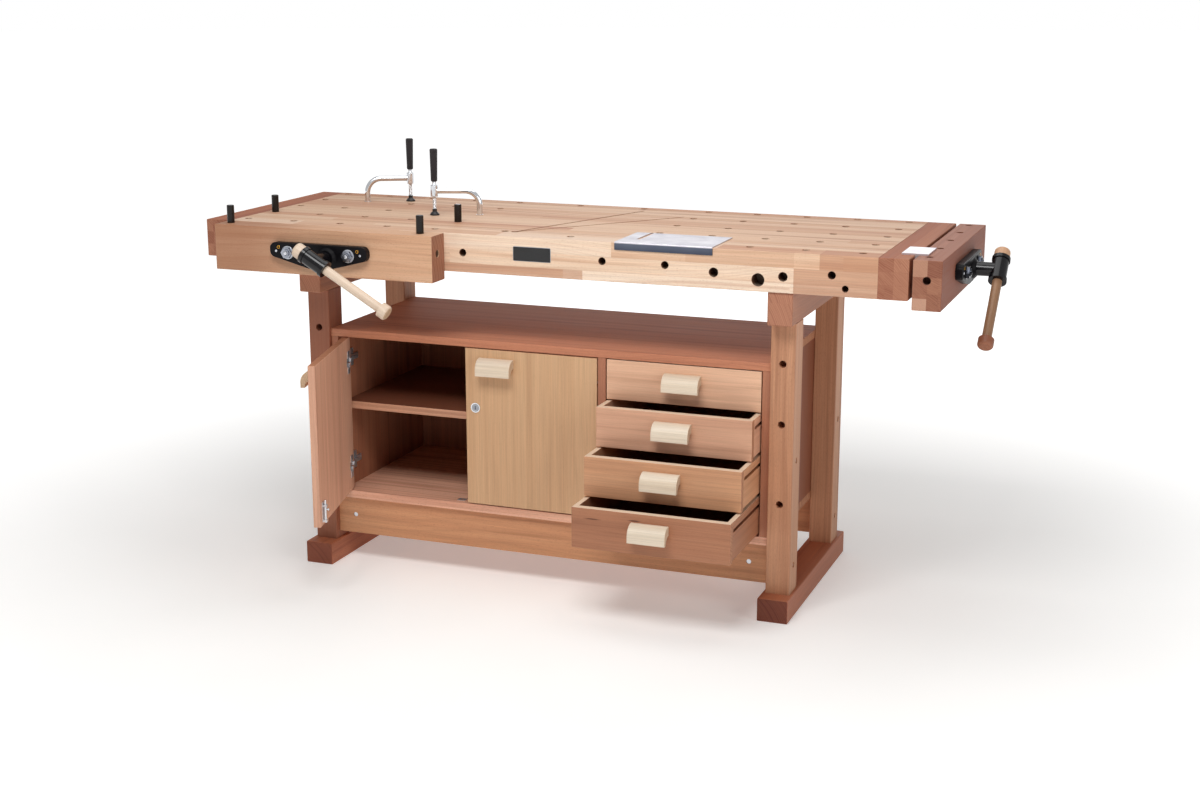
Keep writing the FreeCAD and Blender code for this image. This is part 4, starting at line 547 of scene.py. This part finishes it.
# painted shade: the colours darken from the top drawer to the bottom one
drawerTones = {
    1: {"pale": "#FAD0AC", "mid": "#E8B998", "deep": "#CE9B7D", "streak": "#B27E5F", "seed": 0.11},
    2: {"pale": "#EEBE9E", "mid": "#DBA889", "deep": "#BF8A6E", "streak": "#A46C53", "seed": 0.19},
    3: {"pale": "#E5B188", "mid": "#D09972", "deep": "#B57D58", "streak": "#996344", "seed": 0.31},
    4: {"pale": "#C58F6C", "mid": "#AF7656", "deep": "#935D43", "streak": "#74402C", "seed": 0.47,
        "marks": ((137, 272, 27, 2.6, 0.75), (242, 279, 20, 2.8, 0.85))},
}
for number, tones in drawerTones.items():
    woods[f"beech_drawer_{number}_planed_lacquered"] = {
        "parts": [f"drawer_{number}"], **drawer, **tones,
        "behind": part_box(f"drawer_{number}")[0].y + drawerFront * mm}
painted = set()
for name, look in woods.items():
    material = makeWood(name, look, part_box(look["parts"][0]))
    for part in look["parts"]:
        paint(part, material)
        painted.add(part)
print("wood on", len(painted), "parts")


# folded steel plate: bright brushed top, a painted highlight along the bend, and the lip that's bent
# down over the front edge painted darker, as painted shade
plateShades = {"low": 0.883, "high": 0.9025,        # where the lip starts and the top ends, in m
               "steps": ((0, "#59616F"), (0.80, "#737B88"), (0.86, "#FFFFFF"), (0.96, "#D8D8DA"),
                         (1, "#D8D8DA"))}


def foldedPlate(add, colour):
    place = add("TexCoord").outputs["Object"]
    height = add("SeparateXYZ", {}, {0: place}).outputs[2]
    height = add("MapRange", {1: plateShades["low"], 2: plateShades["high"]}, {0: height})
    shades = add("ValToRGB", {}, {0: height})
    steps = plateShades["steps"]
    shades.color_ramp.elements[0].color = linear(steps[0][1])
    shades.color_ramp.elements[1].color = linear(steps[-1][1])
    for at, code in steps[1:-1]:
        shades.color_ramp.elements.new(at).color = linear(code)
    return {"Base Color": add("Mix", {"data_type": "RGBA", "blend_type": "MULTIPLY", 0: 1.0},
                              {6: colour, 7: shades})}


# lock cylinder: chromed rim about a plug painted darker, and painted shade in the keyway at its centre
# and in the gap round the plug
lockLook = {"plug": (7.6, 8.4), "ringShade": (0.4, 0.9), "ringShadeEvery": 4.6,     # mm
            "plugColour": "#8D8F96", "ringShadeColour": "#2B2C30"}


def lockFace(add, colour):
    centre = next(joint for joint in frame["joints"] if joint["name"] == "door_lock_turn")["pos_m"]
    away = add("TexCoord").outputs["Object"]
    away = add("VectorMath", {"operation": "SUBTRACT", 1: centre}, {0: away})
    away = add("VectorMath", {"operation": "MULTIPLY", 1: (1, 0, 1)}, {0: away})
    radius = add("VectorMath", {"operation": "LENGTH"}, {0: away})
    wave = add("Math", {"operation": "PINGPONG", 1: lockLook["ringShadeEvery"] * mm}, {0: radius})
    for part, source in (("plug", radius), ("ringShade", wave)):
        start, end = lockLook[part]
        mask = add("MapRange", {1: start * mm, 2: end * mm, 3: 1.0, 4: 0.0}, {0: source})
        colour = add("Mix", {"data_type": "RGBA", 7: linear(lockLook[part + "Colour"])},
                     {0: mask, 6: colour})
    return {"Base Color": colour}


# one material for each metal and plastic; the cast iron is duller than the hubs, so that the
# flanges keep their black, and the nickel of the hinges is whiter and softer than zinc
castBlack = makeFinish("cast_iron_black_enamel", "cast", rough=(0.32, 0.44), specular=0.15)
chrome = makeFinish("steel_chrome_plated", "chrome")
zinc = makeFinish("steel_zinc_plated", "zinc")
oxide = makeFinish("steel_black_oxide_turned", "oxide")
darkNutSteel = makeFinish("steel_zinc_plated_painted_dark", "darkNut")
brass = makeFinish("brass_turned", "brass")
blackPlastic = makeFinish("nylon_black_moulded", "plastic")
rubber = makeFinish("rubber_black_moulded", "rubber")
brushed = makeFinish("steel_brushed_liner", "brushed", grain=(1200, 30, 1200))
plateSteel = makeFinish("steel_brushed_folded_plate", "brushed", foldedPlate, bump=0.02,
                        rough=(0.28, 0.42))
lockSteel = makeFinish("lock_cylinder_chrome_with_dark_plug", "chrome", lockFace, rough=(0.10, 0.22))
satinNickel = makeFinish("steel_nickel_plated_satin", "zinc", base="#F0F0F2", mix="#C8C9CE",
                         rough=(0.30, 0.48))

# mm: screw below the top, its pitch, depths of nut and tie bar, and where the enamel ends
vise = {"screwDrop": 66, "pitch": 6, "nut": 7.0, "tie": 8.2, "seam": 0.5}


def makeViseScrewSteel(kind, axis, fromHub):
    # black enamelled hub and collar outside the flange, rolled thread behind it
    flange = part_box(f"{kind}_flange")
    centre = (flange[0] + flange[1]) / 2
    centre.z = (topHeight - vise["screwDrop"]) * mm
    thread, seam, i = ("thread", vise["pitch"]), vise["seam"] * mm, "XYZ".index(axis)
    if fromHub:
        zones = [("cast", flange[1][i] - seam, None), ("polished", beyond, thread)]
    else:
        zones = [("polished", flange[0][i] + seam, thread), ("cast", beyond, None)]
    return makeZones(f"vise_screw_{kind}_rolled_thread_enamelled_hub", axis, zones, centre)


# guide rods: ground steel with nuts outside the flange and a black tie bar at the far ends
frontTie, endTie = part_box("front_guide_rods")[1].y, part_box("end_guide_rods")[0].x
frontRodSteel = makeZones("guide_rods_front_ground_with_zinc_nuts", "Y",
                          [("nut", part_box("front_flange")[0].y + vise["nut"] * mm, None),
                           ("polished", frontTie - vise["tie"] * mm, None), ("cast", beyond, None)])
endRodSteel = makeZones("guide_rods_end_ground_with_zinc_nuts", "X",
                        [("cast", endTie + vise["tie"] * mm, None),
                         ("polished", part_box("end_flange")[1].x - vise["nut"] * mm, None),
                         ("darkNut", beyond, None)])

metalOf = {
    "front_flange": castBlack, "end_flange": castBlack, "front_vise_plate": castBlack,
    "end_vise_plate": castBlack, "front_screw": makeViseScrewSteel("front", "Y", True),
    "end_screw": makeViseScrewSteel("end", "X", False), "front_guide_rods": frontRodSteel,
    "end_guide_rods": endRodSteel, "work_plate": plateSteel, "fixed_jaw_liner": brushed,
    "moving_jaw_liner": brushed, "door_lock": lockSteel, "door_bolt": chrome,
    "left_door_fittings": satinNickel, "right_door_fittings": satinNickel,
    "cabinet_fittings": satinNickel, "frame_bolts": zinc, "drawer_runners": blackPlastic,
    **{f"bench_dog_{number}": oxide for number in (1, 2, 3, 4)},
}
grip = {"low": 0.9878, "pitch": 2.5, "ribs": 26}    # lower end in m, thread pitch in mm
for number in (1, 2):
    low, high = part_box(f"holdfast_{number}_screw")
    metalOf[f"holdfast_{number}_arm"] = chrome
    metalOf[f"holdfast_{number}_pad"] = rubber
    metalOf[f"holdfast_{number}_screw"] = makeZones(
        f"clamp_screw_{number}_chrome_thread_nylon_grip", "Z",
        [("chrome", grip["low"], ("thread", grip["pitch"])),
         ("plastic", beyond, ("ribs", grip["ribs"]))], (low + high) / 2)
for name, material in metalOf.items():
    paint(name, material)
print("metal and plastic on", len(metalOf), "parts")
missing = sorted(set(nodes) - painted - set(metalOf))
if missing:
    print("no finish yet:", missing)


def addPiece(name, mesh, material, body):
    piece = bpy.data.objects.new(name, mesh)
    bpy.context.scene.collection.objects.link(piece)
    mesh.materials.append(material)
    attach(piece, body)


def meshFrom(work, name, smooth=None):
    mesh = bpy.data.meshes.new(name)
    bmesh.ops.recalc_face_normals(work, faces=work.faces)
    work.to_mesh(mesh)
    work.free()
    if smooth:
        mesh.shade_smooth()
        mesh.set_sharp_from_angle(angle=math.radians(smooth))
    return mesh


# bare plate on the front rail: aluminium, anodised black, a dull field with a bright cut rim; mm
makerPlate = {"left": -49.4, "right": 49.1, "low": 841.4, "high": 877, "thick": 1.0, "corner": 4.0,
              "cornerSteps": 6, "rim": 1.1, "rimRise": 0.25, "chamfer": 0.3, "rimColour": "#A9AEB8",
              "rimFrom": 1.0, "rimFull": 0.7}
plateWide, plateTall = makerPlate["right"] - makerPlate["left"], makerPlate["high"] - makerPlate["low"]
plateMiddle = spot((makerPlate["left"] + makerPlate["right"]) / 2, 0,
                   (makerPlate["low"] + makerPlate["high"]) / 2)


def roundedOutline(wide, tall, corner, steps):
    points = []
    for cx, cz, first in ((1, 1, 0), (-1, 1, 90), (-1, -1, 180), (1, -1, 270)):
        for step in range(steps + 1):
            a = math.radians(first + 90 * step / steps)
            points.append((cx * (wide / 2 - corner) + corner * math.cos(a),
                           cz * (tall / 2 - corner) + corner * math.sin(a)))
    return points


def brightRim(add, colour):
    place = add("TexCoord").outputs["Object"]
    xyz = add("SeparateXYZ", {}, {0: place}).outputs
    edges = []
    for axis, size in ((0, plateWide), (2, plateTall)):
        away = add("Math", {"operation": "SUBTRACT", 1: plateMiddle[axis]}, {0: xyz[axis]})
        away = add("Math", {"operation": "ABSOLUTE"}, {0: away})
        edges.append(add("MapRange", {1: (size / 2 - makerPlate["rimFrom"]) * mm,
                                      2: (size / 2 - makerPlate["rimFull"]) * mm}, {0: away}))
    rim = add("Math", {"operation": "MAXIMUM"}, {0: edges[0], 1: edges[1]})
    colour = add("Mix", {"data_type": "RGBA", 7: linear(makerPlate["rimColour"])}, {0: rim, 6: colour})
    return {"Base Color": colour, "Metallic": rim}


def makeMakerPlate():
    look = makerPlate
    thick, rim, chamfer = look["thick"], look["rim"], look["chamfer"]
    work = bmesh.new()
    loops = []
    # outline at the wood, at the face, in from the rim, and down to the recessed field
    for inset, proud in ((0, 0), (0, thick - chamfer), (chamfer, thick), (rim, thick),
                         (rim + chamfer, thick - look["rimRise"])):
        outline = roundedOutline(plateWide - 2 * inset, plateTall - 2 * inset,
                                 max(look["corner"] - inset, 0.5), look["cornerSteps"])
        loops.append([work.verts.new(plateMiddle + Vector((x, -proud, z)) * mm) for x, z in outline])
    for inner, outer in zip(loops, loops[1:]):
        for i in range(len(inner)):
            j = (i + 1) % len(inner)
            work.faces.new((inner[i], inner[j], outer[j], outer[i]))
    work.faces.new(loops[-1])
    work.faces.new(list(reversed(loops[0])))
    anodised = makeFinish("aluminium_plate_anodised_black", "plastic", brightRim, base="#0A0A0C",
                          mix="#141417", rough=(0.30, 0.42), bump=0.05, deep=0.2, ior=1.5)
    mesh = meshFrom(work, "maker_plate_bare", 40)
    addPiece("maker_plate_bare", mesh, anodised, "bench")


makeMakerPlate()


def revolve(work, profile, steps, matrix):
    # profile: pairs of radius and height; the first and last points may lie on the axis
    rings = []
    for radius, height in profile:
        if radius == 0:
            rings.append([work.verts.new(matrix @ (Vector((0, 0, height)) * mm))])
        else:
            rings.append([work.verts.new(matrix @ (Vector((radius * math.cos(2 * math.pi * i / steps),
                                                          radius * math.sin(2 * math.pi * i / steps),
                                                          height)) * mm)) for i in range(steps)])
    for low, high in zip(rings, rings[1:]):
        for i in range(steps):
            j = (i + 1) % steps
            corners = [low[i % len(low)], low[j % len(low)], high[j % len(high)], high[i % len(high)]]
            corners = list(dict.fromkeys(corners))
            if len(corners) > 2:
                work.faces.new(corners)


def facingMatrix(centre, direction):
    return Matrix.Translation(centre) @ direction.to_track_quat("Z", "Y").to_matrix().to_4x4()


# domed screw head with a cross recess, as driven by a number 2 bit; mm
screwHead = {"radius": 4.0, "slotWide": 1.1, "slotLong": 2.2, "slotDeep": 1.1, "slotTaper": 0.8,
             "steps": 24, "dome": ((1, 0), (1, 0.25), (0.93, 0.6), (0.72, 0.9))}


def addScrewHead(work, centre, direction, radius, rise, twist):
    look = screwHead
    scale = radius / look["radius"]
    wide, long, deep = look["slotWide"] * scale / 2, look["slotLong"] * scale, look["slotDeep"] * scale
    lidHeight = rise * look["dome"][-1][1]
    matrix = facingMatrix(centre, direction) @ Matrix.Rotation(twist, 4, "Z")
    head = bmesh.new()
    revolve(head, [(radius * out, rise * up) for out, up in look["dome"]], look["steps"],
            Matrix.Identity(4))
    rim = [v for v in head.verts if abs(v.co.z - lidHeight * mm) < 1e-7]
    rim.sort(key=lambda v: math.atan2(v.co.y, v.co.x))
    head.faces.new(rim)
    lidFrom = (lidHeight - 0.01) * mm
    for offset in (-wide, wide, -long, long):       # the lid is cut along the edges of the cross
        for axis in (Vector((1, 0, 0)), Vector((0, 1, 0))):
            flat = [f for f in head.faces if f.calc_center_median().z > lidFrom]
            parts = set(flat) | {e for f in flat for e in f.edges} | {v for f in flat for v in f.verts}
            bmesh.ops.bisect_plane(head, geom=list(parts), plane_co=axis * offset * mm, plane_no=axis)
    sunk = []
    for face in head.faces:
        middle = face.calc_center_median()
        arms = sorted((abs(middle.x) / mm, abs(middle.y) / mm))
        if middle.z > lidFrom and arms[0] < wide and arms[1] < long:
            sunk.append(face)
    grown = bmesh.ops.extrude_face_region(head, geom=sunk)
    bmesh.ops.delete(head, geom=sunk, context="FACES")
    for vertex in grown["geom"]:
        if isinstance(vertex, bmesh.types.BMVert):
            vertex.co = (vertex.co.x * look["slotTaper"], vertex.co.y * look["slotTaper"],
                         vertex.co.z - deep * mm)
    copied = {vertex: work.verts.new(matrix @ vertex.co) for vertex in head.verts}
    for face in head.faces:
        work.faces.new([copied[v] for v in face.verts])
    head.free()


def addWasher(work, centre, direction, inner, outer, thick, chamfer=0.3):
    profile = [(inner, 0), (outer - chamfer, 0), (outer, chamfer), (outer, thick - chamfer),
               (outer - chamfer, thick), (inner, thick), (inner, 0)]
    revolve(work, profile, 32, facingMatrix(centre, direction))


# fixings of the vises, as seen on each flange: a washer under each nut, a brass countersunk
# screw and a small zinc screw beside it near each end. Places are beside the screw and below the
# top, and washers have inner and outer radius and thickness, all in mm. A stud's end is a
# profile of radius and height.
fixings = {"boss": 7.0, "rodAside": 84.5, "rodDrop": 58, "washer": (9.2, 16.5, 1.2),
           "cupAside": 110, "cupDrop": 45.5, "cup": (2.7, 4.2, 1.1), "cupScrew": (2.7, 0.9),
           "smallAside": 117.5, "smallDrop": 55.5, "smallScrew": (3.0, 1.2),
           "cupTwist": 0.5, "smallTwist": 0.2, "steps": 24,
           "studGap": ((5.7, 0), (5.7, 0.2), (0, 0.2)),
           "studEnd": ((4.6, 0.2), (4.6, 1.0), (3.7, 1.6), (0, 1.6))}


def makeViseFixings(kind, out, aside, bright):
    look = fixings
    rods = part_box(f"{kind}_guide_rods")
    middle = (rods[0] + rods[1]) / 2
    face = max(out.dot(corner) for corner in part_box(f"{kind}_flange")) - look["boss"] * mm
    rodEnd = max(out.dot(corner) for corner in rods)

    def at(side, drop, depth=face):
        return (aside * (aside.dot(middle) + side * mm) + out * depth
                + Vector((0, 0, (topHeight - drop) * mm)))

    steels = {"cups": brass, "cup_screws": oxide, "small_screws": zinc, "washers": bright,
              "stud_gaps": oxide, "stud_ends": bright}
    works = {name: bmesh.new() for name in steels}
    for side in (-1, 1):
        addWasher(works["washers"], at(side * look["rodAside"], look["rodDrop"]), out, *look["washer"])
        tip = facingMatrix(at(side * look["rodAside"], look["rodDrop"], rodEnd), out)
        revolve(works["stud_gaps"], look["studGap"], look["steps"], tip)
        revolve(works["stud_ends"], look["studEnd"], look["steps"], tip)
        cup = at(side * look["cupAside"], look["cupDrop"])
        addWasher(works["cups"], cup, out, *look["cup"])
        addScrewHead(works["cup_screws"], cup, out, *look["cupScrew"], look["cupTwist"] * side)
        addScrewHead(works["small_screws"], at(side * look["smallAside"], look["smallDrop"]), out,
                     *look["smallScrew"], look["smallTwist"])
    for name, work in works.items():
        piece = f"{kind}_flange_{name}"
        addPiece(piece, meshFrom(work, piece, 35), steels[name], f"{kind}_vise_jaw")


makeViseFixings("front", Vector((0, -1, 0)), Vector((1, 0, 0)), zinc)
# the end vise's washers and stud ends take the darkened zinc: painted shade
makeViseFixings("end", Vector((1, 0, 0)), Vector((0, 1, 0)), darkNutSteel)
print("plate and vise fixings made")

# a round sheet of pale matt paper that glows more and more away from the bench, until it's as
# white as the room, so that no edge or horizon shows from any side; lengths in m
studio = {"floor": "#F6F5F3", "floorDeep": "#EEEDEA", "rounds": (0.5, 1, 2, 4, 8, 16, 40),
          "steps": 48, "nearGlow": 0.27, "farGlow": 1.0, "glowFrom": 0.7, "glowTo": 3.4,
          "rough": 0.9, "tooth": 3.0, "world": 0.03, "shine": 0.55}


def makeFloor():
    look = studio
    work = bmesh.new()
    revolve(work, [(0, 0)] + [(r * 1000, 0) for r in look["rounds"]], look["steps"], Matrix.Identity(4))
    mesh = meshFrom(work, "studio_floor")
    material, add, surface = newMaterial("studio_paper_matt_pale")
    place = add("TexCoord").outputs["Object"]
    tooth = add("TexNoise", {"Scale": look["tooth"], "Detail": 3.0}, {0: place})
    colour = add("Mix", {"data_type": "RGBA", 6: linear(look["floor"]),
                         7: linear(look["floorDeep"])}, {0: tooth})
    away = add("VectorMath", {"operation": "LENGTH"}, {0: place})
    glow = add("MapRange",
               {"interpolation_type": "SMOOTHSTEP", 1: look["glowFrom"], 2: look["glowTo"],
                3: look["nearGlow"], 4: look["farGlow"]}, {0: away})
    surface.inputs["Roughness"].default_value = look["rough"]
    surface.inputs["Emission Color"].default_value = (1, 1, 1, 1)
    plug(surface, {"Base Color": colour, "Emission Strength": glow})
    mesh.materials.append(material)
    floor = bpy.data.objects.new("studio_floor", mesh)
    bpy.context.scene.collection.objects.link(floor)


makeFloor()


def makeRoom():
    # white to look at and fairly bright in reflections, but lights the bench only a little
    world = bpy.data.worlds.new("soft_white_room")
    bpy.context.scene.world = world
    world.use_nodes = True
    add = partial(addNode, world.node_tree)
    background = world.node_tree.nodes["Background"]
    background.inputs["Color"].default_value = (1, 1, 1, 1)
    ray = add("LightPath").outputs
    seen = add("Math", {"operation": "MULTIPLY_ADD", 1: 1 - studio["world"], 2: studio["world"]},
               {0: ray["Is Camera Ray"]})
    seen = add("Math", {"operation": "MULTIPLY_ADD", 1: studio["shine"]},
               {0: ray["Is Glossy Ray"], 2: seen})
    plug(background, {"Strength": seen})


makeRoom()

# softboxes: place, aim, width and height in m, and power in W. The key hangs high in front, so
# that the top's overhang shades the doors as in a product studio.
softboxes = {
    "key_softbox": ((0.15, -1.9, 2.9), (0.1, -0.2, 0.6), (1.6, 1.0), 51),
    "left_softbox": ((-1.3, -2.6, 3.6), (0, 0, 0.6), (1.4, 1.4), 10),
    "right_softbox": ((3.2, -1.4, 1.7), (0, 0, 0.6), (1.4, 1.4), 20),
    "top_softbox": ((0, 0.3, 3.2), (0, 0, 0.6), (2.6, 1.8), 29),
    "back_softbox": ((-0.5, 4.5, 2.2), (0, 0, 0.7), (4.0, 2.0), 25),
}
for name, (place, aim, size, power) in softboxes.items():
    lamp = bpy.data.lights.new(name, "AREA")
    lamp.shape = "RECTANGLE"
    lamp.size, lamp.size_y = size
    lamp.energy = power
    holder = bpy.data.objects.new(name, lamp)
    bpy.context.scene.collection.objects.link(holder)
    holder.location = place
    holder.visible_camera = False
    holder.rotation_mode = "QUATERNION"
    holder.rotation_quaternion = (Vector(aim) - Vector(place)).to_track_quat("-Z", "Y")

# camera from the front right and above; angles in degrees, place in m, lens and sensor in mm
view = {"azimuth": 20.783, "elevation": 13.815, "place": (1.56782, -4.06892, 1.5398),
        "lens": 53.235, "sensor": 36}
camera = bpy.data.objects.new("camera", bpy.data.cameras.new("camera"))
bpy.context.scene.collection.objects.link(camera)
camera.data.sensor_width = view["sensor"]
camera.data.lens = view["lens"]
camera.location = view["place"]
azimuth, elevation = math.radians(view["azimuth"]), math.radians(view["elevation"])
ahead = Vector((-math.sin(azimuth) * math.cos(elevation), math.cos(azimuth) * math.cos(elevation),
                -math.sin(elevation)))
camera.rotation_mode = "QUATERNION"
camera.rotation_quaternion = ahead.to_track_quat("-Z", "Y")
bpy.context.scene.camera = camera
bpy.context.scene.view_settings.view_transform = "Standard"
print("floor, light and camera ready")
